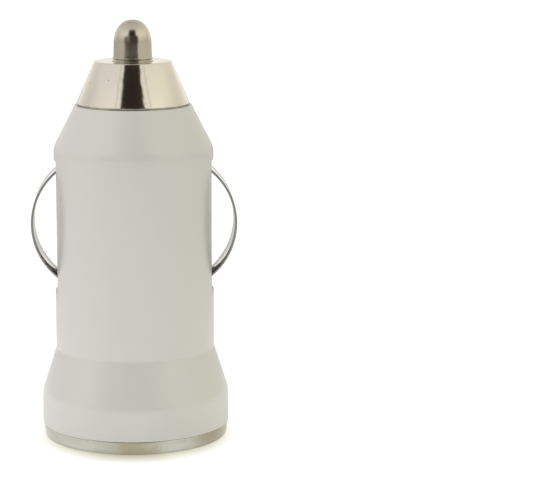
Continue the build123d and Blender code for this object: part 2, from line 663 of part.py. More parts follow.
def usb_contact(offset):
    """Contact strip under the tongue, bent down behind the block into the board."""
    level = TONGUE_BOTTOM - USB_CONTACT_THICKNESS / 2
    start = TONGUE_FRONT + USB_CONTACT_SETBACK
    path = FilletPolyline(
        (level, start), (level, USB_TAIL_LEVEL), (STUB_END, USB_TAIL_LEVEL), radius=USB_CONTACT_BEND
    )
    strip = extrude(
        Plane.YZ * trace(path, USB_CONTACT_THICKNESS), amount=USB_CONTACT_WIDTH / 2, both=True
    )
    cheek = (USB_CONTACT_WIDTH - USB_TAIL_WIDTH) / 2
    shoulder = (STUB_END, BOARD_TOP + CONTACT_BOARD_CLEARANCE)
    for side in (-1, 1):
        edge = side * (USB_CONTACT_WIDTH - cheek) / 2
        strip -= block(about(edge, cheek), shoulder, about(USB_TAIL_LEVEL, USB_CONTACT_WIDTH))
    return Pos(PORT_X + offset, 0, 0) * strip


def circuit_board():
    """Board with a wide port end and a narrow front end, slotted and drilled for its parts."""
    outline = FilletPolyline(
        (-BOARD_HALF_WIDTH, BOARD_START),
        (BOARD_HALF_WIDTH, BOARD_START),
        (BOARD_HALF_WIDTH, BOARD_SHOULDER),
        (BOARD_NOSE_HALF_WIDTH, BOARD_SHOULDER),
        (BOARD_NOSE_HALF_WIDTH, BOARD_NOSE_END),
        (-BOARD_NOSE_HALF_WIDTH, BOARD_NOSE_END),
        (-BOARD_NOSE_HALF_WIDTH, BOARD_SHOULDER),
        (-BOARD_HALF_WIDTH, BOARD_SHOULDER),
        radius=BOARD_CORNER,
        close=True,
    )
    sheet = extrude(Plane.XZ * make_face(outline), amount=BOARD_THICKNESS)
    board = Pos(0, BOARD_TOP, 0) * sheet
    through = (BOARD_BOTTOM - BOARD_THICKNESS, BOARD_TOP + BOARD_THICKNESS)
    for side in (-1, 1):
        leg_x = PORT_X + side * (PORT_OUTER_WIDTH - PORT_WALL) / 2
        board -= block(
            about(leg_x, PORT_WALL + 2 * HOLE_CLEARANCE),
            through,
            about(PORT_FRONT + PORT_LEG_LEVEL, PORT_LEG_WIDTH + 2 * HOLE_CLEARANCE),
        )
    for radius, x, z in board_holes():
        board -= upright(radius + HOLE_CLEARANCE, x, z, through)
    return board


def board_holes():
    """Radius and place of every lead that goes through the board."""
    lead = LEAD_DIAMETER / 2
    holes = [(USB_TAIL_WIDTH / 2, PORT_X + offset, USB_TAIL_LEVEL) for offset in USB_CONTACT_OFFSETS]
    holes += [(LED_LEAD_DIAMETER / 2, LED_LEAD_X, level) for _, level in LED_LEADS]
    pairs = (
        (OUTPUT_CAP_PITCH, OUTPUT_CAP_LEVEL),
        (INPUT_CAP_PITCH, INPUT_CAP_LEVEL),
        (COIL_LEAD_PITCH, COIL_LEVEL),
    )
    for pitch, level in pairs:
        holes += [(lead, side * pitch / 2, level) for side in (-1, 1)]
    return holes


def lead_pair(pitch, top):
    """Two straight leads that go down through the board, modelled upright on Z."""
    bottom = STUB_END - BOARD_TOP
    bar = Pos(0, 0, (top + bottom) / 2) * Cylinder(LEAD_DIAMETER / 2, top - bottom)
    return [Pos(side * pitch / 2, 0, 0) * bar for side in (-1, 1)]


def electrolytic(diameter, height, pitch, level):
    """Capacitor can with a crimp near its foot and two leads."""
    radius = diameter / 2
    can = turned(
        (0, 0),
        (radius, 0, CAP_BEAD),
        (radius, CAP_BEAD * 5),
        (radius - CAP_BEAD, CAP_BEAD * 6),
        (radius, CAP_BEAD * 7),
        (radius, height, CAP_BEAD * 2),
        (0, height),
    )
    return standing(0, level) * (can + lead_pair(pitch, CAP_BEAD))


def inductor_core():
    """Ferrite drum with two notches for the winding's ends."""
    radius = COIL_DIAMETER / 2
    core = COIL_CORE_DIAMETER / 2
    drum = turned(
        (0, 0),
        (radius, 0, CAP_BEAD),
        (radius, COIL_FLANGE, CAP_BEAD),
        (core, COIL_FLANGE),
        (core, COIL_HEIGHT - COIL_FLANGE),
        (radius, COIL_HEIGHT - COIL_FLANGE, CAP_BEAD),
        (radius, COIL_HEIGHT, CAP_BEAD),
        (0, COIL_HEIGHT),
    )
    notch = Cylinder(LEAD_DIAMETER / 2 + HOLE_CLEARANCE, 2 * COIL_FLANGE)
    for side in (-1, 1):
        drum -= Pos(side * COIL_LEAD_PITCH / 2, 0, 0) * notch
    return standing(0, COIL_LEVEL) * drum


def inductor_winding():
    """Copper winding between the drum's flanges, with its two ends down into the board."""
    inner = COIL_CORE_DIAMETER / 2 + COIL_CLEARANCE
    outer = COIL_WINDING_DIAMETER / 2
    low = COIL_FLANGE + COIL_CLEARANCE
    turn = (COIL_HEIGHT - 2 * low) / COIL_LAYERS
    root = outer - turn / 2
    sleeve_top = low + COIL_LAYERS * turn
    winding = turned((inner, low), (root, low), (root, sleeve_top), (inner, sleeve_top))
    for layer in range(COIL_LAYERS):
        ridge = Torus(root, turn / 2)
        winding += Pos(0, 0, low + (layer + 0.5) * turn) * ridge
    winding = winding - Cylinder(inner, 2 * COIL_HEIGHT)
    winding = winding + lead_pair(COIL_LEAD_PITCH, low + turn / 2)
    return standing(0, COIL_LEVEL) * winding


def regulator_chip():
    """Eight-lead surface-mount package under the board."""
    body = Pos(0, 0, CHIP_STANDOFF + CHIP_HEIGHT / 2) * Box(CHIP_WIDTH, CHIP_LENGTH, CHIP_HEIGHT)
    body = chamfer(body.edges().group_by(Axis.Z)[-1], CHIP_STANDOFF)
    knee = (CHIP_WIDTH + CHIP_SPAN) / 4
    foot = CHIP_LEAD_THICKNESS / 2
    shoulder = CHIP_STANDOFF + CHIP_HEIGHT / 2
    bent = FilletPolyline(
        (CHIP_WIDTH / 2 - CHIP_LEAD_WIDTH, shoulder),
        (knee, shoulder),
        (knee, foot),
        (CHIP_SPAN / 2, foot),
        radius=CHIP_LEAD_THICKNESS,
    )
    lead = extrude(Plane.XZ * trace(bent, CHIP_LEAD_THICKNESS), amount=CHIP_LEAD_WIDTH / 2, both=True)
    for row in range(CHIP_LEADS_PER_SIDE):
        y = (row - (CHIP_LEADS_PER_SIDE - 1) / 2) * CHIP_LEAD_PITCH
        body += Pos(0, y, 0) * lead
        body += Pos(0, y, 0) * mirror(lead, about=Plane.YZ)
    return hanging(0, CHIP_LEVEL) * body


def rectifier_diode():
    """Moulded diode with a tab folded under each end."""
    body = Pos(0, 0, DIODE_TAB_THICKNESS + DIODE_HEIGHT / 2) * Box(
        DIODE_LENGTH, DIODE_WIDTH, DIODE_HEIGHT
    )
    body = chamfer(body.edges().group_by(Axis.Z)[-1], DIODE_TAB_THICKNESS)
    end = DIODE_LENGTH / 2
    tab = DIODE_TAB_THICKNESS
    folded = Polyline((end - DIODE_TAB_WIDTH, tab / 2), (end + tab / 2, tab / 2),
                      (end + tab / 2, DIODE_HEIGHT / 2))
    strip = extrude(Plane.XZ * trace(folded, tab), amount=DIODE_TAB_WIDTH / 2, both=True)
    body += [strip, mirror(strip, about=Plane.YZ)]
    return hanging(0, DIODE_LEVEL) * body


def small_part(height, x, level):
    """Two-ended chip resistor or capacitor with plated ends, under the board."""
    inner = Pos(0, 0, SMALL_PART_STEP) * Box(
        SMALL_PART_LENGTH, SMALL_PART_WIDTH, height, align=(Align.CENTER, Align.CENTER, Align.MIN)
    )
    end = Box(
        SMALL_PART_CAP,
        SMALL_PART_WIDTH + 2 * SMALL_PART_STEP,
        height + 2 * SMALL_PART_STEP,
        align=(Align.CENTER, Align.CENTER, Align.MIN),
    )
    ends = [Pos(side * (SMALL_PART_LENGTH - SMALL_PART_CAP) / 2, 0, 0) * end for side in (-1, 1)]
    return hanging(x, level) * (inner + ends)


def indicator_led():
    """Clear round lamp whose dome fills the hole in the face."""
    radius = LED_DIAMETER / 2
    flange = LED_FLANGE_DIAMETER / 2
    lamp = turned(
        (0, LED_TIP + radius),
        (radius, LED_TIP + radius),
        (radius, LED_FLANGE_LEVEL),
        (flange, LED_FLANGE_LEVEL),
        (flange, LED_BASE),
        (0, LED_BASE),
    )
    lamp += Pos(0, 0, LED_TIP + radius) * Sphere(radius)
    return Pos(LED_X, LED_Y, 0) * lamp


def led_lead(y, level):
    """Lamp leg that rises from the lamp, turns in over the board and goes down through it."""
    path = FilletPolyline(
        (LED_X, y, LED_BASE),
        (LED_X, y, level),
        (LED_LEAD_X, y, level),
        (LED_LEAD_X, STUB_END, level),
        radius=LED_LEAD_BEND,
    )
    section = Plane(origin=path @ 0, z_dir=path % 0) * Circle(LED_LEAD_DIAMETER / 2)
    return sweep(section, path=path)


def all_parts():
    """Every piece of the plug by name."""
    right_contact = side_contact()
    parts = {
        "body_shell": body_shell(),
        "nose_ring": nose_ring(),
        "center_pin": center_pin(),
        "pin_spring": pin_spring(),
        "positive_terminal": positive_terminal(),
        "side_contact_left": mirror(right_contact, about=Plane.YZ),
        "side_contact_right": right_contact,
        "end_cap": end_cap(),
        "face_label": face_label(),
        "usb_shell": usb_shell(),
        "usb_insulator": usb_insulator(),
        "circuit_board": circuit_board(),
        "regulator_chip": regulator_chip(),
        "rectifier_diode": rectifier_diode(),
        "inductor_core": inductor_core(),
        "inductor_winding": inductor_winding(),
        "output_capacitor": electrolytic(
            OUTPUT_CAP_DIAMETER, OUTPUT_CAP_HEIGHT, OUTPUT_CAP_PITCH, OUTPUT_CAP_LEVEL
        ),
        "input_capacitor": electrolytic(
            INPUT_CAP_DIAMETER, INPUT_CAP_HEIGHT, INPUT_CAP_PITCH, INPUT_CAP_LEVEL
        ),
        "sense_resistor": small_part(RESISTOR_HEIGHT, -SMALL_PART_LENGTH, NOSE_PARTS_LEVEL),
        "timing_capacitor": small_part(CERAMIC_HEIGHT, SMALL_PART_LENGTH, NOSE_PARTS_LEVEL),
        "divider_resistor_1": small_part(RESISTOR_HEIGHT, -SMALL_PART_SIDE, INPUT_CAP_LEVEL),
        "divider_resistor_2": small_part(RESISTOR_HEIGHT, SMALL_PART_SIDE, INPUT_CAP_LEVEL),
        "led_resistor": small_part(RESISTOR_HEIGHT, -SMALL_PART_SIDE, LED_RESISTOR_LEVEL),
        "indicator_led": indicator_led(),
    }
    for number, offset in enumerate(USB_CONTACT_OFFSETS, start=1):
        parts[f"usb_contact_{number}"] = usb_contact(offset)
    for number, (y, level) in enumerate(LED_LEADS, start=1):
        parts[f"led_lead_{number}"] = led_lead(y, level)
    return parts


os.makedirs("parts", exist_ok=True)
for name, part in all_parts().items():
    export_step(part, f"parts/{name}.step")
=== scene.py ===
"""Finished look of a lighter plug with one USB port, built around its packed CAD model."""

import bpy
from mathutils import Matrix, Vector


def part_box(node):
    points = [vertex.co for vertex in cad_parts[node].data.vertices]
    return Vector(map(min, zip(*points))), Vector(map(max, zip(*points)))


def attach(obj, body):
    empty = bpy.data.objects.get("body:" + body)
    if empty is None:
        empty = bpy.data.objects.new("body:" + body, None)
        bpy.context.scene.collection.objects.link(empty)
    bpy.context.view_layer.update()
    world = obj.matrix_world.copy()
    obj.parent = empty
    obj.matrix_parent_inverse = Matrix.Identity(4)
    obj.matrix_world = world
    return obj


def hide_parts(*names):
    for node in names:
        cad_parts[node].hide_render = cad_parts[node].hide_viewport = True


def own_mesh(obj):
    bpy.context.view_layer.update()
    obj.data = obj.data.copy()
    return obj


bl_info = {
    "name": "Charger Plug",
    "version": (1, 0, 0),
    "blender": (4, 5, 0),
    "location": "3D View > Sidebar > Charger Plug",
    "description": "Models the visible pieces of a lighter plug on its CAD frame and finishes them",
    "category": "Add Mesh",
}

from math import atan2, cos, hypot, pi, radians, sin, tan

import bmesh
import bpy
from bpy.props import FloatProperty, FloatVectorProperty, IntProperty, PointerProperty
from mathutils import Matrix, Vector

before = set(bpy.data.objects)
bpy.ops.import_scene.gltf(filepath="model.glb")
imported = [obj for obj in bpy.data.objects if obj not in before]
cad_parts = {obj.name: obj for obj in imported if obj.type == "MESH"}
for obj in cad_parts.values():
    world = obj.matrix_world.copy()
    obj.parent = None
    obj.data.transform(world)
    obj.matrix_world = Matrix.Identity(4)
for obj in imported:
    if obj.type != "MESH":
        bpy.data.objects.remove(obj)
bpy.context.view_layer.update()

BODY = "plug_body"

# Units in metres, how near corners are merged, and how close to its place a chosen corner is
MM = 0.001
MICRON = 1e-6
NEAR = 1e-6
CLOSE = 1e-5

# Degrees from which an edge is left sharp, on most pieces and on small round ones, and softened
SMOOTH_ANGLE = 35.0
WIDE_ANGLE = 50.0
SHARP_ANGLE = 50.0

# Steps of the round shapes, and how far a cutter goes past what it cuts
ROUND = 192
SMALL_ROUND = 64
BARREL_ROWS = 12
PIN_RINGS = 24
DOME_RINGS = 12
WIRE_POINTS = 14
TURN_STEPS = 32
BEND_STEPS = 8
BOW_STEPS = 56
TAIL_STEPS = 5
THROUGH = 3

SHELL_LOW, SHELL_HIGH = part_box("body_shell")
NOSE_LOW, NOSE_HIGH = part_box("nose_ring")
PIN_LOW, PIN_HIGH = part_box("center_pin")
CAP_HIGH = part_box("end_cap")[1]
CONTACT_LOW, CONTACT_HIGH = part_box("side_contact_right")
SPRING_LOW, SPRING_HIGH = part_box("pin_spring")
LAMP_LOW, LAMP_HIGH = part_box("indicator_led")
PORT_LOW, PORT_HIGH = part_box("usb_shell")
LAMP_CENTRE = ((LAMP_LOW.x + LAMP_HIGH.x) / 2, (LAMP_LOW.y + LAMP_HIGH.y) / 2)

WHITE = (1.0, 1.0, 1.0, 1.0)
FLOOR_SIZE = 12.0
LAMP_PLACE = (-0.7, -0.35, 0.2)
LAMP_AIM = (0.0, 0.0, 0.025)
LAMP_SPREAD = 0.5
LAMP_TINT = (0.95, 0.98, 1.0)
SENSOR_WIDTH = 36.0
CLIP_RANGE = (0.01, 50.0)
CARD_DISTANCE = 0.36

# Dark cards behind the camera: name, left, right, bottom, top and colour
CARDS = (
    ("card_front", -0.196, 0.163, 0.24, 0.5, (0.022, 0.015, 0.012)),
    ("card_above", -0.196, 0.163, 0.5, 0.66, (0.40, 0.36, 0.32)),
    ("card_middle", -0.12, 0.245, 0.07, 0.24, (0.06, 0.043, 0.034)),
    ("card_middle_left", -0.5, -0.12, 0.07, 0.24, (0.24, 0.21, 0.18)),
    ("card_low", -0.29, 0.22, 0.0, 0.07, (0.05, 0.034, 0.026)),
    ("card_low_left", -0.43, -0.29, 0.0, 0.12, (0.2, 0.16, 0.13)),
    ("card_left", -0.302, -0.290, 0.1, 0.7, (0.25, 0.21, 0.17)),
    ("card_right", 0.270, 0.282, 0.1, 0.7, (0.25, 0.21, 0.17)),
)


def length(name, millimetres, description):
    """Length property whose default is written in millimetres."""
    return FloatProperty(
        name=name,
        description=description,
        default=millimetres * MM,
        min=0.0,
        precision=5,
        subtype="DISTANCE",
        unit="LENGTH",
    )


def measured(name, metres, description):
    """Length property whose default is read from the frame."""
    return length(name, metres / MM, description)


def colour(name, red, green, blue, description):
    """Colour property whose default is written in linear values."""
    return FloatVectorProperty(
        name=name,
        description=description,
        default=(red, green, blue),
        min=0.0,
        max=1.0,
        subtype="COLOR",
    )


def level(name, default, description):
    """Plain number property for strengths and finishes."""
    return FloatProperty(name=name, description=description, default=default, min=0.0, precision=3)


class ShellSizes(bpy.types.PropertyGroup):
    """Sizes of the white shell."""

    skirt_radius: measured("Skirt radius", SHELL_HIGH.x, "Radius of the skirt at the port end")
    rim_top: measured("Skirt foot", SHELL_LOW.z, "Height at which the skirt starts")
    skirt_top: length("Skirt top", 5.85, "Height at which the skirt starts to narrow")
    flare_top: length("Flare top", 11.6, "Height at which the barrel starts")
    barrel_radius: length("Barrel radius", 10.25, "Radius of the straight barrel")
    shoulder: length("Shoulder", 37.7, "Height at which the front cone starts")
    cone_radius: length("Cone radius", 7.475, "Radius of the cone under the nose ring")
    cone_top: measured("Cone top", NOSE_LOW.z, "Height of the ledge that carries the nose ring")
    neck_radius: length("Neck radius", 5.3, "Radius of the neck inside the nose ring")
    neck_top: measured("Neck top", SHELL_HIGH.z, "Height of the neck's end")
    neck_bore: length("Neck bore", 4.2, "Radius of the bore through the neck")
    wall: length("Wall", 1.5, "Wall of the shell")
    flare_foot_blend: length("Flare foot blend", 3.5, "Rounding between skirt and flare")
    flare_top_blend: length("Flare top blend", 1.2, "Rounding between flare and barrel")
    shoulder_blend: length("Shoulder blend", 2.6, "Rounding between barrel and cone")
    edge_break: length("Edge break", 0.1, "Rounding of the skirt's foot")
    window_gap: length("Window gap", 0.15, "Room beside each side contact")
    window_nest: length("Window nest", 0.45, "How much of a contact's front bend the shell covers")
    window_room: length("Window room", 0.35, "Room behind a contact's rear bend")
    window_corner: length("Window corner", 0.5, "Rounding of a window's corners")
    window_break: length("Window edge", 0.1, "Softening of a window's edges")


class NoseSizes(bpy.types.PropertyGroup):
    """Sizes of the nose ring, the centre pin and its spring."""

    base_radius: length("Ring base radius", 7.25, "Radius of the nose ring at its foot")
    top_radius: length("Ring top radius", 4.95, "Radius of the nose ring at its top")
    top: measured("Ring top", NOSE_HIGH.z, "Height of the nose ring's top")
    top_wall: length("Ring top wall", 1.2, "Thickness of the ledge that keeps the pin in")
    cavity_radius: length("Cavity radius", 4.1, "Radius of the room for the pin's flange")
    neck_gap: length("Neck gap", 0.1, "Room between the ring and the neck")
    edge_break: length("Ring edge", 0.1, "Rounding of the ring's top edge")
    seam_break: length("Ring seam", 0.1, "Rounding of the ring's foot")
    seam_height: length("Seam height", 0.16, "Height of the shadow gap under the ring")
    seam_depth: length("Seam depth", 0.35, "Depth of the shadow gap under the ring")
    pin_radius: length("Pin radius", 2.42, "Radius at which the pin's round end starts")
    pin_taper: length("Pin taper", 0.05, "How much wider the pin is at its foot")
    round_length: length("Round end", 3.1, "Length of the pin's round end")
    fullness: level("Fullness", 2.2, "Fullness of the round end, where 2 is an ellipse")
    lip_radius: length("Lip radius", 2.575, "Radius of the fine lip at the pin's foot")
    lip_level: length("Lip level", 0.28, "Height of the lip above the ring")
    lip_height: length("Lip height", 0.2, "Height of the lip")
    groove: length("Lip groove", 0.12, "Depth of the groove under the lip")
    pin_gap: length("Pin gap", 0.075, "Room between the pin and its hole")
    tip: measured("Pin tip", PIN_HIGH.z, "Height of the pin's round end")
    flange_radius: measured("Flange radius", PIN_HIGH.x, "Radius of the flange behind the ledge")
    flange_bottom: length("Flange bottom", 46.65, "Height of the flange's lower face")
    flange_thickness: length("Flange thickness", 0.8, "Thickness of the flange")
    boss_radius: length("Boss radius", 2.3, "Radius of the boss that centres the spring")
    boss_end: measured("Boss end", PIN_LOW.z, "Height of the boss's lower end")
    spring_radius: length("Spring radius", 2.9, "Mean radius of the spring")
    spring_wire: length("Spring wire", 0.5, "Diameter of the spring's wire")
    spring_turns: IntProperty(name="Spring turns", description="Turns of the spring", default=6, min=1)
    pin_travel: length("Pin travel", 3.0, "How far the pin goes in")


class ContactSizes(bpy.types.PropertyGroup):
    """Sizes of the bowed side contacts."""

    reach: measured("Reach", CONTACT_HIGH.x, "Distance of the bow's crest from the axis")
    width: measured("Width", 2 * CONTACT_HIGH.y, "Width of the strip")
    thickness: length("Thickness", 0.3, "Thickness of the strip")
    foot_x: length("Foot place", 8.035, "Distance of the feet's middle from the axis")
    foot: length("Foot length", 0.7, "Straight length at the front end")
    bend: length("Bend", 1.0, "Radius of the bend between a foot and the bow")
    front_bend: measured("Front bend", CONTACT_HIGH.z - 0.7 * MM, "Height of the front foot's bend")
    rear_bend: measured("Rear bend", CONTACT_LOW.z + 2.15 * MM, "Height of the rear foot's bend")
    tail_level: measured("Tail level", CONTACT_LOW.z, "Height of the tail's underside")
    tail_bend: length("Tail bend", 0.6, "Radius of the bend into the tail")
    tail: length("Tail length", 1.5, "Straight length of the tail")
    tail_trim: length("Tail trim", 0.29, "How much the tail is cut back on the board's side")
    edge_break: length("Strip edge", 0.05, "Softening of the strip's edges")
    travel: length("Travel", 2.7, "How far the bow is pressed in")


class CapSizes(bpy.types.PropertyGroup):
    """Sizes of the end cap and its lamp."""

    rim_radius: measured("Rim radius", CAP_HIGH.x, "Radius of the rim under the skirt")
    foot_radius: length("Foot radius", 11.8, "Radius of the rim at the table")
    rim_width: length("Rim width", 0.75, "Width of the face that the plug stands on")
    recess: length("Face recess", 1.0, "How deep the face lies inside the rim")
    plate: length("Face thickness", 1.2, "Thickness of the face")
    spigot_radius: length("Spigot radius", 10.48, "Radius of the step inside the skirt")
    foot_break: length("Rim edge", 0.3, "Rounding of the rim's outer edge")
    lip_break: length("Rim lip", 0.15, "Rounding of the rim's inner edge")
    top_break: length("Rim top edge", 0.1, "Rounding under the skirt")
    port_width: length("Port width", 12.5, "Width of the port's opening")
    port_height: length("Port height", 5.12, "Height of the port's opening")
    port_sheet: length("Port sheet", 0.3, "Thickness of the port's folded sheet")
    port_margin: length("Port margin", 0.2, "Room that the face leaves around the opening")
    port_corner: length("Port corner", 0.5, "Rounding of the opening's corners")
    cut_break: length("Cut-out edge", 0.08, "Softening of the edges of the cut-outs")
    lamp_radius: length("Lamp radius", 1.5, "Radius of the lamp's body")
    lamp_gap: length("Lamp gap", 0.1, "Room between the lamp and its hole")
    lamp_flange: length("Lamp flange", 0.8, "Thickness of the lamp's flange")
    cup_radius: length("Cup radius", 0.85, "Radius of the reflector's mouth inside the lamp")
    cup_depth: length("Cup depth", 0.6, "Depth of the reflector")
    cup_wall: length("Cup wall", 0.1, "Wall of the reflector")


class FinishColours(bpy.types.PropertyGroup):
    """Colours of the plug's finishes, as linear values."""

    shell: colour("Shell", 0.717, 0.667, 0.618, "Moulded shell")
    nose: colour("Nose plating", 0.77, 0.725, 0.63, "Polished nose ring")
    pin: colour("Pin plating", 0.66, 0.61, 0.51, "Polished centre pin")
    contact: colour("Contact steel", 0.92, 0.915, 0.895, "Faces of the spring strip")
    contact_edge: colour("Contact edge", 0.34, 0.33, 0.30, "Sheared edges of the spring strip")
    wire: colour("Spring wire", 0.62, 0.61, 0.58, "Wire of the pin spring")
    rim: colour("Rim plating", 0.69, 0.685, 0.60, "Rim of the end cap")
    # Also used, darker, for the painted shade at the rim's top and foot
    tarnish: colour("Tarnish", 0.48, 0.435, 0.315, "Patches where the rim has gone yellow")
    face: colour("Face plating", 0.42, 0.375, 0.26, "Satin face of the end cap")
    label: colour("Label", 0.60, 0.59, 0.565, "Bare sticker")
    port: colour("Port sheet", 0.50, 0.48, 0.44, "Folded sheet of the port")
    insulator: colour("Insulator", 0.62, 0.58, 0.47, "Tongue of the port")
    gold: colour("Gold flash", 0.78, 0.55, 0.22, "Contacts on the tongue")
    lamp: colour("Lamp", 0.93, 0.94, 0.92, "Clear lamp")


class StageLook(bpy.types.PropertyGroup):
    """Light, backdrop and camera."""

    sky: level("Sky level", 1.07, "Strength of the light above the horizon in front")
    back: level("Back level", 0.75, "Strength of the light above the horizon behind")
    horizon: level("Horizon level", 0.55, "Strength of the light along the horizon")
    backdrop: level("Backdrop level", 1.08, "Strength of the light along the horizon behind")
    zenith: level("Zenith level", 0.72, "Share of the light that comes from overhead")
    lamp: level("Lamp power", 0.55, "Power of the soft lamp on the left")
    eye_distance: length("Eye distance", 280.0, "Distance of the camera in front of the axis")
    eye_height: length("Eye height", 76.0, "Height of the camera")
    aim_side: length("Aim side", 17.31, "How far right of the axis the camera looks")
    aim_height: length("Aim height", 24.42, "Height at which the camera looks")
    lens: FloatProperty(
        name="Lens", description="Focal length", default=147.4, min=1.0, subtype="DISTANCE_CAMERA"
    )
    roll: FloatProperty(
        name="Roll", description="Camera's lean", default=radians(0.08), subtype="ANGLE", unit="ROTATION"
    )


def primitive(add, name, scale=(1.0, 1.0, 1.0), **settings):
    """Add a primitive, alone in the selection, and put its place and scale into its mesh."""
    bpy.ops.object.select_all(action="DESELECT")
    add(**settings)
    piece = bpy.context.object
    piece.name = name
    piece.data.name = name
    piece.scale = scale
    bpy.ops.object.transform_apply(location=True, rotation=True, scale=True)
    return piece


def extrude(x, z):
    """Carry the selected edges along to a new row."""
    bpy.ops.mesh.extrude_region_move(TRANSFORM_OT_translate={"value": (x, 0.0, z)})


def choose(piece, test):
    """Select the edges of a piece in edit mode whose ends both pass a test of their place."""
    bpy.ops.mesh.select_all(action="DESELECT")
    bpy.ops.mesh.select_mode(type="EDGE")
    mesh = bmesh.from_edit_mesh(piece.data)
    chosen = [edge for edge in mesh.edges if all(test(end.co) for end in edge.verts)]
    if not chosen:
        raise RuntimeError(f"{piece.name}: nothing to select")
    for edge in chosen:
        edge.select_set(True)
    bmesh.update_edit_mesh(piece.data)


def corner_offset(before, corner, after, radius):
    """Distance along its sides at which a rounding of a profile's corner starts."""
    to_before = Vector(before[:2]) - Vector(corner[:2])
    to_after = Vector(after[:2]) - Vector(corner[:2])
    return radius / tan(to_before.angle(to_after) / 2)


def rounded_end(radius, height, rings, power=1.0):
    """Profile of a round end above its foot, without its tip."""
    turns = (pi / 2 * step / rings for step in range(rings))
    return [(radius * cos(turn) ** power, height * sin(turn) ** power) for turn in turns]


def turned(name, profile, closed=True, centre=(0.0, 0.0), points=ROUND, segments=6):
    """Turn a profile of (radius, height, rounding) about a vertical axis, ring by ring."""
    radius, height = profile[0][:2]
    start = (*centre, height)
    piece = primitive(
        bpy.ops.mesh.primitive_circle_add, name, vertices=points, radius=radius, location=start
    )
    bpy.ops.object.mode_set(mode="EDIT")
    bpy.ops.mesh.select_mode(type="EDGE")
    bpy.ops.mesh.select_all(action="SELECT")
    rings = profile[1:] + profile[:1] if closed else profile[1:]
    for ring in rings:
        extrude(0.0, ring[1] - height)
        widening = ring[0] / radius
        if abs(widening - 1.0) > NEAR:
            bpy.ops.transform.resize(value=(widening, widening, 1.0))
        radius, height = max(ring[0], NEAR), ring[1]
    bpy.ops.mesh.select_all(action="SELECT")
    bpy.ops.mesh.remove_doubles(threshold=NEAR)
    if not closed:
        bpy.ops.mesh.fill_holes(sides=0)
    for index, ring in enumerate(profile):
        if len(ring) < 3 or not ring[2]:
            continue
        before = profile[index - 1]
        after = profile[(index + 1) % len(profile)]

        def on_ring(place):
            spread = hypot(place.x - centre[0], place.y - centre[1])
            return abs(place.z - ring[1]) < CLOSE and abs(spread - ring[0]) < CLOSE

        choose(piece, on_ring)
        bpy.ops.mesh.bevel(
            offset=corner_offset(before, ring, after, ring[2]),
            offset_type="OFFSET",
            segments=segments,
            affect="EDGES",
            clamp_overlap=True,
        )
    return piece


def smooth(angle=SMOOTH_ANGLE):
    """Smooth the selected piece, apart from edges sharper than an angle in degrees."""
    bpy.ops.object.shade_smooth_by_angle(angle=radians(angle))


def finished(piece, angle=SMOOTH_ANGLE):
    """Leave edit mode with outward faces, and smooth what isn't an edge."""
    bpy.ops.mesh.select_all(action="SELECT")
    bpy.ops.mesh.normals_make_consistent(inside=False)
    bpy.ops.object.mode_set(mode="OBJECT")
    smooth(angle)
    return piece


def apply_modifier(piece, kind, **settings):
    """Add a modifier with its settings and apply it."""
    bpy.context.view_layer.objects.active = piece
    modifier = piece.modifiers.new(kind.title(), kind)
    for key, value in settings.items():
        setattr(modifier, key, value)
    bpy.ops.object.modifier_apply(modifier=modifier.name)


def rounded_bar(name, middle, size, along, corner):
    """Box with the four edges along one axis rounded, as a cutter."""
    bar = primitive(bpy.ops.mesh.primitive_cube_add, name, size, size=1.0, location=middle)
    bpy.ops.object.mode_set(mode="EDIT")
    mesh = bmesh.from_edit_mesh(bar.data)
    bpy.ops.mesh.select_mode(type="EDGE")
    bpy.ops.mesh.select_all(action="DESELECT")
    for edge in mesh.edges:
        run = edge.verts[1].co - edge.verts[0].co
        edge.select_set(run.length - abs(run[along]) < NEAR)
    bmesh.update_edit_mesh(bar.data)
    bpy.ops.mesh.bevel(offset=corner, segments=6, affect="EDGES")
    bpy.ops.object.mode_set(mode="OBJECT")
    return bar


def cut(piece, cutter):
    """Take a cutter out of a piece and delete it."""
    apply_modifier(piece, "BOOLEAN", operation="DIFFERENCE", solver="EXACT", object=cutter)
    bpy.data.objects.remove(cutter)


def soften(piece, width, angle=SHARP_ANGLE):
    """Bevel the edges of a piece that are sharper than an angle in degrees."""
    apply_modifier(
        piece,
        "BEVEL",
        width=width,
        segments=2,
        limit_method="ANGLE",
        angle_limit=radians(angle),
        use_clamp_overlap=True,
    )


def wear(thing, material):
    """Give a piece or CAD node one material."""
    thing.data.materials.clear()
    thing.data.materials.append(material)


def place(piece, material, body, slot, *nodes):
    """Put a piece on its body with its finish, and hide the CAD nodes that it stands for; its slot is
    not used.
    """
    wear(piece, material)
    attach(piece, body)
    if nodes:
        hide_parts(*nodes)


class Wire:
    """A shader socket that can be used in sums."""

    def __init__(self, finish, socket):
        self.finish = finish
        self.socket = socket

    def _math(self, operation, first, second):
        return self.finish.node("ShaderNodeMath", {"operation": operation}, {0: first, 1: second})

    def __add__(self, other):
        return self._math("ADD", self, other)

    def __radd__(self, other):
        return self._math("ADD", other, self)

    def __sub__(self, other):
        return self._math("SUBTRACT", self, other)

    def __rsub__(self, other):
        return self._math("SUBTRACT", other, self)

    def __mul__(self, other):
        return self._math("MULTIPLY", self, other)

    def __rmul__(self, other):
        return self._math("MULTIPLY", other, self)


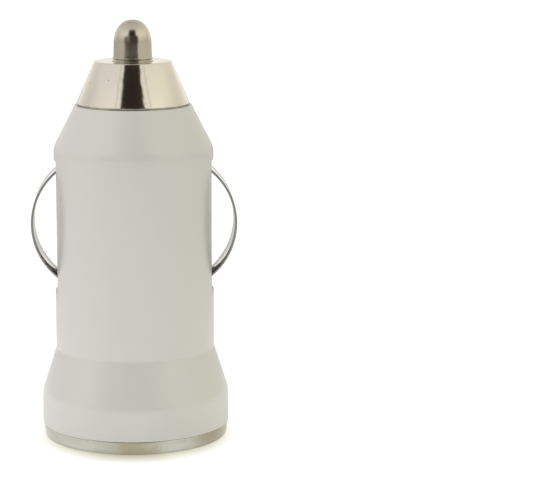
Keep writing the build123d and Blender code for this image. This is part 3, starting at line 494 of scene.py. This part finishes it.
class Finish:
    """The node tree of a material or the world, under construction."""

    def __init__(self, owner):
        owner.use_nodes = True
        self.owner = owner
        self.tree = owner.node_tree
        self.tree.nodes.clear()

    def node(self, kind, settings=None, inputs=None, output=0):
        """Add a node with its settings, then set or link its sockets, and give back an output."""
        node = self.tree.nodes.new(kind)
        for key, value in (settings or {}).items():
            setattr(node, key, value)
        for key, value in (inputs or {}).items():
            if isinstance(value, Wire):
                self.tree.links.new(value.socket, node.inputs[key])
            else:
                node.inputs[key].default_value = value
        return Wire(self, node.outputs[output])

    def place(self):
        """Place on the piece in metres."""
        return self.node("ShaderNodeTexCoord", output="Object")

    def parts_of(self, vector):
        """The three numbers of a vector."""
        wire = self.node("ShaderNodeSeparateXYZ", inputs={0: vector})
        return [Wire(self, wire.socket.node.outputs[index]) for index in range(3)]

    def size_of(self, vector):
        """The length of a vector."""
        return self.node("ShaderNodeVectorMath", {"operation": "LENGTH"}, {0: vector}, output="Value")

    def noise(self, scale, detail=2.0, roughness=0.5, vector=None):
        """Cloudy value about a half."""
        inputs = {"Scale": scale, "Detail": detail, "Roughness": roughness}
        return self.node("ShaderNodeTexNoise", inputs={"Vector": vector or self.place(), **inputs})

    def stretched(self, scale):
        """Place on the piece, scaled by a different number along each axis."""
        return self.node("ShaderNodeMapping", inputs={"Vector": self.place(), "Scale": scale})

    def range(self, value, low, high, to_low=0.0, to_high=1.0):
        """Value moved from one range to another and kept inside it."""
        inputs = {0: value, 1: low, 2: high, 3: to_low, 4: to_high}
        return self.node("ShaderNodeMapRange", {"clamp": True}, inputs)

    def mix(self, factor, first, second):
        """Blend of two colours."""
        inputs = {0: factor, 6: first, 7: second}
        return self.node("ShaderNodeMix", {"data_type": "RGBA"}, inputs, output=2)

    def scaled(self, shade, factor):
        """Colour made stronger or weaker by a number."""
        return self.node("ShaderNodeVectorMath", {"operation": "SCALE"}, {0: shade, "Scale": factor})

    def bump(self, height, distance, strength=1.0, normal=None):
        """Normal that follows a height times a distance in metres."""
        inputs = {"Height": height, "Distance": distance, "Strength": strength}
        if normal is not None:
            inputs["Normal"] = normal
        return self.node("ShaderNodeBump", inputs=inputs)

    def rays(self):
        """Whether a ray comes off a mirror, and whether off a mirror, from the eye or through glass."""
        path = self.node("ShaderNodeLightPath").socket.node.outputs
        kinds = ("Is Glossy Ray", "Is Camera Ray", "Is Transmission Ray")
        mirrored, eye, glass = (Wire(self, path[kind]) for kind in kinds)
        return mirrored, eye + glass + mirrored

    def layered(self, factor, first, second):
        """Mix of two shaders."""
        return self.node("ShaderNodeMixShader", inputs={0: factor, 1: first, 2: second})

    def surface(self, shader, kind="ShaderNodeOutputMaterial"):
        """Show a shader, and give back the material or world."""
        output = self.tree.nodes.new(kind)
        self.tree.links.new(shader.socket, output.inputs["Surface"])
        return self.owner

    def principled(self, base, roughness, normal, **others):
        """Show a principled shader, and give back the material."""
        inputs = {"Base Color": base, "Roughness": roughness, "Normal": normal}
        for key, value in others.items():
            inputs[key.replace("_", " ")] = value
        return self.surface(self.node("ShaderNodeBsdfPrincipled", inputs=inputs))


def new_finish(name):
    """The tree of a new material."""
    return Finish(bpy.data.materials.new(name))


def tone(rgb, factor=1.0):
    """Colour with full alpha, made lighter or darker by a factor."""
    return (*(min(1.0, channel * factor) for channel in rgb), 1.0)


def moulded_plastic(name, rgb, roughness=0.3):
    """Moulded plastic: slow flow marks, a faint unevenness and traces of handling."""
    tree = new_finish(name)
    cloud = tree.range(tree.noise(70.0, vector=tree.stretched((1.0, 1.0, 0.35))), 0.3, 0.7)
    handling = tree.range(tree.noise(420.0, 4.0, 0.65), 0.52, 0.75)
    base = tree.mix(cloud, tone(rgb, 0.975), tone(rgb, 1.02))
    base = tree.mix(handling * 0.02, base, tone(rgb, 0.7))
    roughness = roughness + (cloud - 0.5) * 0.06 + handling * 0.1
    uneven = tree.bump(tree.noise(240.0, 1.0), 7.5 * MICRON, 0.35)
    return tree.principled(base, roughness, uneven, IOR=1.9)


def polished_plating(name, rgb, seam, roughness=0.09):
    """Bright plating: slow waves, polishing lines, a few pits, and dirt with painted shade along a seam.
    """
    tree = new_finish(name)
    above = tree.parts_of(tree.place())[2] - seam
    # Dirt and painted shade: a dark, patchy band along the seam, where shade falls under the lip or in
    # the gap
    seam_patches = tree.range(tree.noise(900.0, roughness=0.6), 0.35, 0.65, 0.2, 0.7)
    seam_dirt_and_shade = tree.range(above * above, 0.0, (0.13 * MM) ** 2, 1.0, 0.0) * seam_patches
    wave = tree.noise(330.0) + tree.noise(1300.0, 1.0) * 0.12
    lines = tree.noise(1.0, 2.0, 0.6, tree.stretched((300.0, 300.0, 9000.0)))
    spots = {"Vector": tree.place(), "Scale": 600.0}
    pits = tree.range(tree.node("ShaderNodeTexVoronoi", {"feature": "F1"}, spots), 0.05, 0.09, 1.0, 0.0)
    haze = tree.range(tree.noise(160.0, 3.0, 0.6), 0.35, 0.7)
    base = tree.mix(haze, tone(rgb, 0.97), tone(rgb))
    base = tree.mix(pits * 0.55, base, tone(rgb, 0.35))
    base = tree.mix(seam_dirt_and_shade, base, tone(rgb, 0.12))
    roughness = roughness + haze * 0.05 + lines * 0.04 + seam_dirt_and_shade * 0.3
    normal = tree.bump(lines, 1.5 * MICRON, 0.5, tree.bump(wave, 60 * MICRON))
    return tree.principled(base, roughness, normal, Metallic=1.0)


def spring_steel(name, rgb, edge_rgb, half_width):
    """Rolled strip: bright faces lined along their length, dull sheared edges and slight tarnish."""
    tree = new_finish(name)
    lines = tree.noise(1.0, 2.0, 0.6, tree.stretched((120.0, 5200.0, 120.0)))
    tarnish = tree.range(tree.noise(500.0, 3.0, 0.6), 0.45, 0.8)
    across = tree.parts_of(tree.place())[1]
    edge = tree.range(across * across, (half_width - 0.05 * MM) ** 2, (half_width - 0.03 * MM) ** 2)
    base = tree.mix(tarnish * 0.6, tone(rgb), tone(rgb, 0.72))
    base = tree.mix(edge, base, tone(edge_rgb))
    roughness = 0.14 + lines * 0.06 + tarnish * 0.08 + edge * 0.2
    return tree.principled(base, roughness, tree.bump(lines, 2 * MICRON, 0.5), Metallic=1.0)


def satin_plating(name, rim_rgb, tarnish_and_shade_rgb, face_rgb, rim_inner, rim_top):
    """Champagne plating: a brighter rim with yellower patches, painted shade at its top and foot, and a
    blasted face inside it.
    """
    tree = new_finish(name)
    x, y, z = tree.parts_of(tree.place())
    spread = tree.node("ShaderNodeMath", {"operation": "POWER"}, {0: x * x + y * y, 1: 0.5})
    face = tree.range(spread, rim_inner - 0.05 * MM, rim_inner + 0.05 * MM, 1.0, 0.0)
    cloud = tree.range(tree.noise(180.0, 3.0, 0.55), 0.3, 0.7)
    face_colour = tree.mix(cloud, tone(face_rgb, 0.94), tone(face_rgb, 1.06))
    # Yellower patches follow each other along the rim, closer towards its right
    drift = (tree.noise(260.0) - 0.5) * (4 * MM)
    turn = (x + drift) * 492.0 + x * x * 13600.0
    patches = tree.node("ShaderNodeMath", {"operation": "COSINE"}, {0: turn})
    rim_colour = tree.mix(tree.range(patches, -0.9, 0.9), tone(rim_rgb), tone(tarnish_and_shade_rgb))
    streaks = tree.noise(1.0, 4.0, 0.65, tree.stretched((130.0, 130.0, 1200.0)))
    rim_colour = tree.scaled(rim_colour, tree.range(streaks, 0.3, 0.7, 0.86, 1.1))
    worn = tree.range(tree.noise(800.0, 3.0, 0.6), 0.55, 0.8)
    rim_colour = tree.mix(worn * 0.4, rim_colour, tone(tarnish_and_shade_rgb, 0.75))
    # Painted shade: the rim is darker at its top, under the skirt, and at its foot by the table
    painted_shade_under_skirt = tree.range(z, rim_top - 0.7 * MM, rim_top, 0.0, 0.15)
    painted_shade_at_foot = tree.range(z, 0.0, 0.45 * MM, 0.3, 0.0)
    rim_colour = tree.mix(painted_shade_under_skirt + painted_shade_at_foot, rim_colour, tone(tarnish_and_shade_rgb, 0.5))
    base = tree.mix(face, rim_colour, face_colour)
    roughness = 0.17 + face * 0.2 + cloud * 0.04 + worn * 0.08
    grain = tree.bump(tree.noise(2600.0, 3.0, 0.65), 12 * MICRON, 0.4)
    turning = tree.noise(1.0, vector=tree.stretched((160.0, 160.0, 3000.0)))
    return tree.principled(base, roughness, tree.bump(turning, 4 * MICRON, 0.5, grain), Metallic=1.0)


def label_paper(name, rgb):
    """Smooth sticker paper with a faint tooth."""
    tree = new_finish(name)
    cloud = tree.noise(260.0, 3.0, 0.55)
    base = tree.mix(tree.range(cloud, 0.35, 0.7), tone(rgb, 0.965), tone(rgb, 1.015))
    tooth = tree.bump(tree.noise(4000.0, roughness=0.6), 5 * MICRON, 0.4)
    return tree.principled(base, 0.5 + cloud * 0.12, tooth)


def folded_sheet(name, rgb):
    """Plated sheet metal with faint drawing lines."""
    tree = new_finish(name)
    lines = tree.noise(1.0, 2.0, 0.6, tree.stretched((2600.0, 2600.0, 120.0)))
    stain = tree.range(tree.noise(600.0, 3.0, 0.6), 0.45, 0.75)
    base = tree.mix(stain, tone(rgb), tone(rgb, 0.8))
    roughness = 0.28 + lines * 0.1 + stain * 0.08
    return tree.principled(base, roughness, tree.bump(lines, 3 * MICRON, 0.5), Metallic=1.0)


def mottled(name, rgb, roughness, scale=900.0, depth=0.12, grain=10 * MICRON, metallic=0.0):
    """Plain small-part finish with a soft mottle and grain."""
    tree = new_finish(name)
    cloud = tree.range(tree.noise(scale, 3.0, 0.6), 0.3, 0.7)
    base = tree.mix(cloud, tone(rgb, 1.0 - depth), tone(rgb, 1.0 + depth))
    normal = tree.bump(tree.noise(scale * 5.0, roughness=0.6), grain, 0.4)
    return tree.principled(base, roughness + (cloud - 0.5) * 0.1, normal, Metallic=metallic)


def bare_metal(name, rgb, roughness, scale, depth=0.06, grain=2 * MICRON):
    """Plain small-part finish for metal."""
    return mottled(name, rgb, roughness, scale, depth, grain, metallic=1.0)


def clear_resin(name, rgb):
    """Water-clear lamp resin with faint flow lines."""
    tree = new_finish(name)
    flow = tree.noise(900.0)
    base = tree.mix(flow, tone(rgb), tone(rgb, 0.96))
    normal = tree.bump(flow, 6 * MICRON, 0.3)
    return tree.principled(base, 0.03 + flow * 0.05, normal, IOR=1.52, Transmission_Weight=1.0)


class CHARGER_OT_shell(bpy.types.Operator):
    """Model the white shell with its two contact windows"""

    bl_idname = "charger.shell"
    bl_label = "Shell"

    def execute(self, context):
        size = context.scene.charger_shell
        contact = context.scene.charger_contact
        flare_slope = atan2(size.skirt_radius - size.barrel_radius, size.flare_top - size.skirt_top)
        cone_slope = atan2(size.barrel_radius - size.cone_radius, size.cone_top - size.shoulder)
        flare_drop = size.wall * tan(flare_slope / 2)
        cone_drop = size.wall * tan(cone_slope / 2)
        skirt_inner = size.skirt_radius - size.wall
        barrel_inner = size.barrel_radius - size.wall
        roof = size.cone_top - size.wall
        roof_radius = barrel_inner - (roof - size.shoulder + cone_drop) * tan(cone_slope)
        row_height = (size.shoulder - size.flare_top) / BARREL_ROWS
        rows = (size.flare_top + row_height * row for row in range(1, BARREL_ROWS))
        profile = [
            (size.skirt_radius, size.rim_top, size.edge_break),
            (size.skirt_radius, size.skirt_top, size.flare_foot_blend),
            (size.barrel_radius, size.flare_top, size.flare_top_blend),
            *((size.barrel_radius, row) for row in rows),
            (size.barrel_radius, size.shoulder, size.shoulder_blend),
            (size.cone_radius, size.cone_top, size.edge_break / 2),
            (size.neck_radius, size.cone_top),
            (size.neck_radius, size.neck_top),
            (size.neck_bore, size.neck_top),
            (size.neck_bore, roof),
            (roof_radius, roof),
            (barrel_inner, size.shoulder - cone_drop),
            (barrel_inner, size.flare_top - flare_drop),
            (skirt_inner, size.skirt_top - flare_drop),
            (skirt_inner, size.rim_top),
        ]
        shell = finished(turned("shell", profile))
        low = contact.rear_bend - size.window_room
        high = contact.front_bend - size.window_nest
        middle = (0.0, 0.0, (low + high) / 2)
        opening = (THROUGH * size.skirt_radius, contact.width + 2 * size.window_gap, high - low)
        cut(shell, rounded_bar("window", middle, opening, 0, size.window_corner))
        soften(shell, size.window_break)
        plastic = moulded_plastic("shell_moulding", context.scene.charger_colours.shell)
        place(shell, plastic, BODY, "shell_white", "body_shell")
        return {"FINISHED"}


class CHARGER_OT_nose(bpy.types.Operator):
    """Model the plated nose ring"""

    bl_idname = "charger.nose"
    bl_label = "Nose Ring"

    def execute(self, context):
        size = context.scene.charger_nose
        shell = context.scene.charger_shell
        bore = shell.neck_radius + size.neck_gap
        bore_top = shell.neck_top + size.neck_gap
        hole = size.lip_radius + size.pin_gap
        ledge = size.top - size.top_wall
        foot = shell.cone_top + size.seam_height
        profile = [
            (size.base_radius - size.seam_depth, shell.cone_top),
            (size.base_radius - size.seam_depth, foot),
            (size.base_radius, foot, size.seam_break),
            (size.top_radius, size.top, size.edge_break),
            (hole, size.top, size.seam_break),
            (hole, ledge),
            (size.cavity_radius, ledge),
            (size.cavity_radius, bore_top),
            (bore, bore_top),
            (bore, shell.cone_top),
        ]
        ring = finished(turned("nose", profile))
        plating = polished_plating("nose_plating", context.scene.charger_colours.nose, foot)
        place(ring, plating, BODY, "nose_plating", "nose_ring")
        return {"FINISHED"}


class CHARGER_OT_pin(bpy.types.Operator):
    """Model the round-nosed centre pin"""

    bl_idname = "charger.pin"
    bl_label = "Centre Pin"

    def execute(self, context):
        size = context.scene.charger_nose
        lip_bottom = size.top + size.lip_level
        lip_top = lip_bottom + size.lip_height
        lip_break = size.lip_height / 4
        groove_bottom = lip_bottom - size.lip_height
        groove = size.lip_radius - size.groove
        flange_top = size.flange_bottom + size.flange_thickness
        round_level = size.tip - size.round_length
        round_end = rounded_end(size.pin_radius, size.round_length, PIN_RINGS, 2 / size.fullness)
        profile = [
            (size.boss_radius, size.boss_end),
            (size.boss_radius, size.flange_bottom),
            (size.flange_radius, size.flange_bottom),
            (size.flange_radius, flange_top),
            (size.lip_radius, flange_top),
            (size.lip_radius, groove_bottom),
            (groove, groove_bottom),
            (groove, lip_bottom),
            (size.lip_radius, lip_bottom, lip_break),
            (size.lip_radius, lip_top, lip_break),
            (size.pin_radius + size.pin_taper, lip_top),
            *((radius, round_level + height) for radius, height in round_end),
            (0.0, size.tip),
        ]
        pin = finished(turned("pin", profile, closed=False, points=ROUND // 2, segments=3))
        plating = polished_plating("pin_plating", context.scene.charger_colours.pin, lip_bottom, 0.14)
        place(pin, plating, "pin", "pin_plating", "center_pin")
        return {"FINISHED"}


class CHARGER_OT_spring(bpy.types.Operator):
    """Wind the spring behind the centre pin"""

    bl_idname = "charger.spring"
    bl_label = "Pin Spring"

    def execute(self, context):
        size = context.scene.charger_nose
        wire = size.spring_wire / 2
        spring = primitive(
            bpy.ops.mesh.primitive_circle_add,
            "spring",
            vertices=WIRE_POINTS,
            radius=wire,
            location=(size.spring_radius, 0.0, SPRING_LOW.z + wire),
            rotation=(pi / 2, 0.0, 0.0),
        )
        steps = TURN_STEPS * size.spring_turns
        apply_modifier(
            spring,
            "SCREW",
            axis="Z",
            angle=2 * pi * size.spring_turns,
            screw_offset=SPRING_HIGH.z - SPRING_LOW.z - size.spring_wire,
            steps=steps,
            render_steps=steps,
        )
        bpy.ops.object.mode_set(mode="EDIT")
        bpy.ops.mesh.select_all(action="SELECT")
        bpy.ops.mesh.fill_holes(sides=0)
        finished(spring, WIDE_ANGLE)
        metal = bare_metal("spring_wire", context.scene.charger_colours.wire, 0.3, 1600.0)
        place(spring, metal, BODY, "spring_wire", "pin_spring")
        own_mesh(spring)
        return {"FINISHED"}


class CHARGER_OT_contacts(bpy.types.Operator):
    """Bend the two side contacts"""

    bl_idname = "charger.contacts"
    bl_label = "Side Contacts"

    def bend(self, steps, angle, x, z):
        """Carry the selected end edge round a line across the strip."""
        bpy.ops.mesh.spin(steps=steps, angle=angle, center=(x, 0.0, z), axis=(0.0, 1.0, 0.0))

    def strip(self, size):
        """One strip on the right side, from its front foot to its tail."""
        crest = size.reach - size.thickness / 2
        rise = (size.front_bend - size.rear_bend) / 2
        level = (size.front_bend + size.rear_bend) / 2
        height = crest - size.foot_x
        bow = ((height - size.bend) ** 2 + rise**2 - size.bend**2) / (2 * height)
        bow_x = crest - bow
        bend_x = size.foot_x + size.bend
        angle = atan2(rise, bend_x - bow_x)
        tail_turn = size.tail_level + size.thickness / 2 + size.tail_bend
        piece = primitive(
            bpy.ops.mesh.primitive_plane_add,
            "contact_strip_right",
            (size.foot, size.width, 1.0),
            size=1.0,
            location=(size.foot_x, 0.0, size.front_bend + size.foot / 2),
            rotation=(0.0, pi / 2, 0.0),
        )
        bpy.ops.object.mode_set(mode="EDIT")
        choose(piece, lambda place: abs(place.z - size.front_bend) < NEAR)
        self.bend(BEND_STEPS, angle, bend_x, size.front_bend)
        self.bend(BOW_STEPS, -2 * angle, bow_x, level)
        self.bend(BEND_STEPS, angle, bend_x, size.rear_bend)
        extrude(0.0, tail_turn - size.rear_bend)
        self.bend(TAIL_STEPS, -pi / 2, size.foot_x - size.tail_bend, tail_turn)
        extrude(-size.tail, 0.0)
        choose(piece, lambda place: place.z < size.rear_bend - NEAR and place.y < 0.0)
        bpy.ops.transform.translate(value=(0.0, size.tail_trim, 0.0))
        bpy.ops.mesh.select_all(action="SELECT")
        bpy.ops.mesh.remove_doubles(threshold=NEAR)
        bpy.ops.mesh.normals_make_consistent(inside=False)
        bpy.ops.object.mode_set(mode="OBJECT")
        apply_modifier(piece, "SOLIDIFY", thickness=size.thickness, offset=0.0)
        soften(piece, size.edge_break, angle=60.0)
        smooth()
        return piece

    def execute(self, context):
        size = context.scene.charger_contact
        colours = context.scene.charger_colours
        steel = spring_steel("contact_steel", colours.contact, colours.contact_edge, size.width / 2)
        right = self.strip(size)
        bpy.ops.object.duplicate(linked=False)
        left = bpy.context.object
        left.name = "contact_strip_left"
        left.scale = (-1.0, 1.0, 1.0)
        bpy.ops.object.transform_apply(location=True, rotation=True, scale=True)
        bpy.ops.object.mode_set(mode="EDIT")
        finished(left)
        sides = (
            (right, 1, "side_contact_right", "right_contact_press"),
            (left, -1, "side_contact_left", "left_contact_press"),
        )
        for strip, side, node, joint in sides:
            place(strip, steel, BODY, "contact_steel", node)
            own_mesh(strip)
        return {"FINISHED"}


class CHARGER_OT_cap(bpy.types.Operator):
    """Model the plated end cap with its port and lamp cut-outs"""

    bl_idname = "charger.cap"
    bl_label = "End Cap"

    def execute(self, context):
        size = context.scene.charger_cap
        colours = context.scene.charger_colours
        rim_inner = size.foot_radius - size.rim_width
        rim_top = context.scene.charger_shell.rim_top
        back = size.recess + size.plate
        profile = [
            (rim_inner, size.recess),
            (rim_inner, 0.0, size.lip_break),
            (size.foot_radius, 0.0, size.foot_break),
            (size.rim_radius, rim_top, size.top_break),
            (size.spigot_radius, rim_top),
            (size.spigot_radius, back),
        ]
        cap = finished(turned("cap", profile, closed=False))
        port_x = (PORT_LOW.x + PORT_HIGH.x) / 2
        port_y = PORT_HIGH.y - size.port_sheet - size.port_height / 2
        margin = 2 * size.port_margin
        opening = (size.port_width + margin, size.port_height + margin, THROUGH * back)
        cut(cap, rounded_bar("opening", (port_x, port_y, back / 2), opening, 2, size.port_corner))
        hole_radius = size.lamp_radius + size.lamp_gap
        hole = [(hole_radius, -back), (hole_radius, THROUGH * back)]
        cut(cap, finished(turned("hole", hole, closed=False, centre=LAMP_CENTRE, points=SMALL_ROUND)))
        soften(cap, size.cut_break)
        plating = satin_plating(
            "cap_plating", colours.rim, colours.tarnish, colours.face, rim_inner, rim_top
        )
        place(cap, plating, BODY, "cap_plating", "end_cap")
        return {"FINISHED"}


class CHARGER_OT_lamp(bpy.types.Operator):
    """Model the clear lamp and the cup inside it"""

    bl_idname = "charger.lamp"
    bl_label = "Indicator Lamp"

    def execute(self, context):
        size = context.scene.charger_cap
        flange_radius = (LAMP_HIGH.x - LAMP_LOW.x) / 2
        tip = LAMP_LOW.z
        base = LAMP_HIGH.z
        dome_level = tip + size.lamp_radius
        dome = rounded_end(size.lamp_radius, size.lamp_radius, DOME_RINGS)
        profile = [
            (flange_radius, base),
            (flange_radius, base - size.lamp_flange),
            (size.lamp_radius, base - size.lamp_flange),
            *((radius, dome_level - height) for radius, height in dome),
            (0.0, tip),
        ]
        shape = {"closed": False, "centre": LAMP_CENTRE, "points": SMALL_ROUND}
        lens = finished(turned("lamp", profile, **shape), WIDE_ANGLE)
        resin = clear_resin("lamp_resin", context.scene.charger_colours.lamp)
        place(lens, resin, BODY, "lamp_clear", "indicator_led")
        mouth = dome_level + size.cup_wall * 5
        neck = mouth + size.cup_depth
        outer = size.cup_radius + size.cup_wall
        cup_profile = [
            (size.cup_radius / 3, neck),
            (size.cup_radius, mouth),
            (outer, mouth),
            (outer, neck),
            (size.cup_radius / 2, neck + size.cup_depth / 2),
            (size.cup_radius / 2, base - size.lamp_flange / 2),
        ]
        cup = finished(turned("lamp_cup", cup_profile, **shape))
        place(cup, bare_metal("lamp_cup", (0.72, 0.71, 0.68), 0.2, 1800.0), BODY, "tinned_wire")
        return {"FINISHED"}


class CHARGER_OT_inner_finish(bpy.types.Operator):
    """Finish the port, the sticker and the parts on the board"""

    bl_idname = "charger.inner_finish"
    bl_label = "Port and Board Finish"

    def execute(self, context):
        colours = context.scene.charger_colours
        gold = bare_metal("port_gold", colours.gold, 0.25, 1500.0, grain=3 * MICRON)
        resistor = mottled("resistor_film", (0.02, 0.02, 0.022), 0.4)
        black = mottled("package_black", (0.018, 0.018, 0.02), 0.55)
        sleeve = mottled("capacitor_sleeve", (0.02, 0.03, 0.06), 0.3)
        tinned = bare_metal("tinned_wire", (0.60, 0.60, 0.59), 0.35, 1800.0, 0.08, 10 * MICRON)
        copper = bare_metal("copper_lacquer", (0.50, 0.16, 0.06), 0.28, 1200.0, 0.1, 10 * MICRON)
        finishes = {
            "face_label": label_paper("label_paper", colours.label),
            "usb_shell": folded_sheet("port_sheet", colours.port),
            "usb_insulator": moulded_plastic("port_moulding", colours.insulator, 0.5),
            "positive_terminal": folded_sheet("terminal_sheet", colours.contact),
            "circuit_board": mottled("board_lacquer", (0.02, 0.12, 0.045), 0.35, 700.0, 0.1),
            "regulator_chip": black,
            "rectifier_diode": black,
            "inductor_core": mottled("ferrite", (0.045, 0.045, 0.05), 0.6, 2500.0, 0.2),
            "inductor_winding": copper,
            "output_capacitor": sleeve,
            "input_capacitor": sleeve,
            "sense_resistor": resistor,
            "divider_resistor_1": resistor,
            "divider_resistor_2": resistor,
            "led_resistor": resistor,
            "timing_capacitor": mottled("ceramic_tan", (0.30, 0.20, 0.11), 0.5),
            "led_lead_1": tinned,
            "led_lead_2": tinned,
            **{f"usb_contact_{number}": gold for number in range(1, 5)},
        }
        for node, material in finishes.items():
            wear(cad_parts[node], material)
        return {"FINISHED"}


class CHARGER_OT_stage(bpy.types.Operator):
    """Set up the floor, the light and the camera"""

    bl_idname = "charger.stage"
    bl_label = "Stage"

    def floor(self):
        """White floor that keeps the plug's shadow and can be seen through from below."""
        floor = primitive(bpy.ops.mesh.primitive_plane_add, "floor", size=FLOOR_SIZE)
        tree = new_finish("floor_white")
        mirrored, seen = tree.rays()
        away = tree.size_of(tree.place())
        x, y, _ = tree.parts_of(tree.place())
        # Metal mirrors a floor that is dimmer far off and behind the plug
        distant = tree.range(away, 0.2, 0.5)
        behind = tree.range(y, 0.03, 0.12, 0.0, 0.8)
        dimmed = (distant + behind - distant * behind) * mirrored
        far = tree.mix(tree.range(x, 0.0, 0.3), (0.42, 0.40, 0.36, 1.0), (0.54, 0.51, 0.43, 1.0))
        bright = tree.mix(dimmed, WHITE, far)
        # Warm shadow around the foot
        oval = tree.size_of(tree.stretched((1.2, 1.0, 1.0)))
        near = tree.range(oval, 11.8 * MM, 16 * MM, 0.6, 0.0) * (1.0 - mirrored)
        bright = tree.mix(near, bright, (0.96, 0.92, 0.6, 1.0))
        paint = tree.node("ShaderNodeBsdfDiffuse", inputs={"Color": (0.9, 0.9, 0.9, 1.0)})
        glow = tree.node("ShaderNodeEmission", inputs={"Color": bright, "Strength": 1.25})
        gloss = {"Color": (0.9, 0.87, 0.72, 1.0), "Roughness": 0.3}
        sheen = tree.node("ShaderNodeBsdfGlossy", inputs=gloss)
        shaded = tree.range(away, 16 * MM, 40 * MM, 0.4, 0.0) * mirrored + 0.25
        white = tree.layered(near, tree.layered(shaded, glow, paint), sheen)
        # Light thrown up at the skirt's sides, and at the face for a view from below
        beside = tree.range(x * x, (9 * MM) ** 2, (14 * MM) ** 2, 0.0, 0.5)
        aside = beside * tree.range(away, 13 * MM, 50 * MM, 1.0, 0.0)
        under = tree.range(away, 9.5 * MM, 10.5 * MM, 0.7, 0.0)
        shown = tree.layered(seen, tree.layered(aside + under, paint, glow), white)
        below = tree.node("ShaderNodeNewGeometry", output="Backfacing")
        clear = tree.node("ShaderNodeBsdfTransparent")
        wear(floor, tree.surface(tree.layered(below, shown, clear)))

    def card(self, name, left, right, bottom, top, rgb):
        """Dark card behind the camera that only shows in reflections."""
        card = primitive(
            bpy.ops.mesh.primitive_plane_add,
            name,
            (right - left, top - bottom, 1.0),
            size=1.0,
            location=((left + right) / 2, -CARD_DISTANCE, (bottom + top) / 2),
            rotation=(pi / 2, 0.0, 0.0),
        )
        card.visible_camera = False
        card.visible_diffuse = False
        card.visible_shadow = False
        tree = new_finish(name)
        wear(card, tree.surface(tree.node("ShaderNodeEmission", inputs={"Color": tone(rgb)})))

    def sky(self, look):
        """Soft light, weaker overhead, and a white background that metal mirrors with a slow shading."""
        world = bpy.data.worlds.new("studio")
        bpy.context.scene.world = world
        tree = Finish(world)
        side, depth, height = tree.parts_of(tree.node("ShaderNodeTexCoord", output="Generated"))
        mirrored, seen = tree.rays()
        across = tree.range(side, -1.0, 1.0)
        low = tree.range(depth, 0.3, 0.9, look.horizon, look.backdrop)
        high = tree.range(depth, -0.8, 0.8, look.sky, look.back)
        overhead = tree.range(height, 0.4, 1.0, 1.0, look.zenith)
        soft = (low + (high - low) * tree.range(height, 0.02, 0.3, 0.5, 1.0)) * overhead
        tint = tree.mix(across, (1.01, 1.045, 1.13, 1.0), (0.82, 0.87, 0.71, 1.0))
        light = tree.node("ShaderNodeBackground", inputs={"Color": tree.scaled(tint, soft)})
        clear = (low + (high - low) * tree.range(height, 0.0, 0.45)) * overhead
        clear = clear * tree.range(side, 0.1, 0.8, 1.0, 1.15)
        warm = tree.mix(across, (1.0, 0.985, 0.97, 1.0), (0.93, 0.90, 0.80, 1.0))
        background = tree.mix(mirrored, WHITE, tree.scaled(warm, clear))
        white = tree.node("ShaderNodeBackground", inputs={"Color": background})
        tree.surface(tree.layered(seen, light, white), "ShaderNodeOutputWorld")

    def aimed(self, data, place, aim, roll=0.0):
        """Put a lamp or camera at its place, turned towards its aim."""
        thing = bpy.data.objects.new(data.name, data)
        bpy.context.scene.collection.objects.link(thing)
        turn = (Vector(aim) - Vector(place)).to_track_quat("-Z", "Y").to_matrix().to_4x4()
        thing.matrix_world = Matrix.Translation(place) @ turn @ Matrix.Rotation(roll, 4, "Z")
        return thing

    def lamp(self, look):
        """Large soft lamp on the left that leaves no patch in reflections."""
        data = bpy.data.lights.new("lamp_left", "AREA")
        data.shape = "DISK"
        data.size = LAMP_SPREAD
        data.energy = look.lamp
        data.color = LAMP_TINT
        self.aimed(data, LAMP_PLACE, LAMP_AIM).visible_glossy = False

    def camera(self, look):
        """Camera at the height and distance of the photograph's."""
        data = bpy.data.cameras.new("camera")
        data.sensor_width = SENSOR_WIDTH
        data.lens = look.lens
        data.clip_start, data.clip_end = CLIP_RANGE
        eye = (0.0, -look.eye_distance, look.eye_height)
        aim = (look.aim_side, 0.0, look.aim_height)
        bpy.context.scene.camera = self.aimed(data, eye, aim, look.roll)

    def execute(self, context):
        look = context.scene.charger_stage
        context.scene.view_settings.view_transform = "Standard"
        self.floor()
        for card in CARDS:
            self.card(*card)
        self.sky(look)
        self.lamp(look)
        self.camera(look)
        return {"FINISHED"}


OPERATORS = (
    CHARGER_OT_shell,
    CHARGER_OT_nose,
    CHARGER_OT_pin,
    CHARGER_OT_spring,
    CHARGER_OT_contacts,
    CHARGER_OT_cap,
    CHARGER_OT_lamp,
    CHARGER_OT_inner_finish,
    CHARGER_OT_stage,
)

GROUPS = {
    "charger_shell": ShellSizes,
    "charger_nose": NoseSizes,
    "charger_contact": ContactSizes,
    "charger_cap": CapSizes,
    "charger_colours": FinishColours,
    "charger_stage": StageLook,
}


class CHARGER_PT_panel(bpy.types.Panel):
    """Sizes, colours and steps of the charger plug"""

    bl_idname = "CHARGER_PT_panel"
    bl_label = "Charger Plug"
    bl_space_type = "VIEW_3D"
    bl_region_type = "UI"
    bl_category = "Charger Plug"

    def draw(self, context):
        for name, group in GROUPS.items():
            box = self.layout.box()
            box.label(text=group.__doc__)
            for key in group.__annotations__:
                box.prop(getattr(context.scene, name), key)
        for operator in OPERATORS:
            self.layout.operator(operator.bl_idname)


def register():
    for name, group in GROUPS.items():
        bpy.utils.register_class(group)
        setattr(bpy.types.Scene, name, PointerProperty(type=group))
    for operator in OPERATORS:
        bpy.utils.register_class(operator)
    bpy.utils.register_class(CHARGER_PT_panel)


def unregister():
    bpy.utils.unregister_class(CHARGER_PT_panel)
    for operator in reversed(OPERATORS):
        bpy.utils.unregister_class(operator)
    for name, group in reversed(GROUPS.items()):
        delattr(bpy.types.Scene, name)
        bpy.utils.unregister_class(group)


def main():
    register()
    bpy.ops.charger.shell()
    bpy.ops.charger.nose()
    bpy.ops.charger.pin()
    bpy.ops.charger.spring()
    bpy.ops.charger.contacts()
    bpy.ops.charger.cap()
    bpy.ops.charger.lamp()
    bpy.ops.charger.inner_finish()
    bpy.ops.charger.stage()


if __name__ == "__main__":
    main()
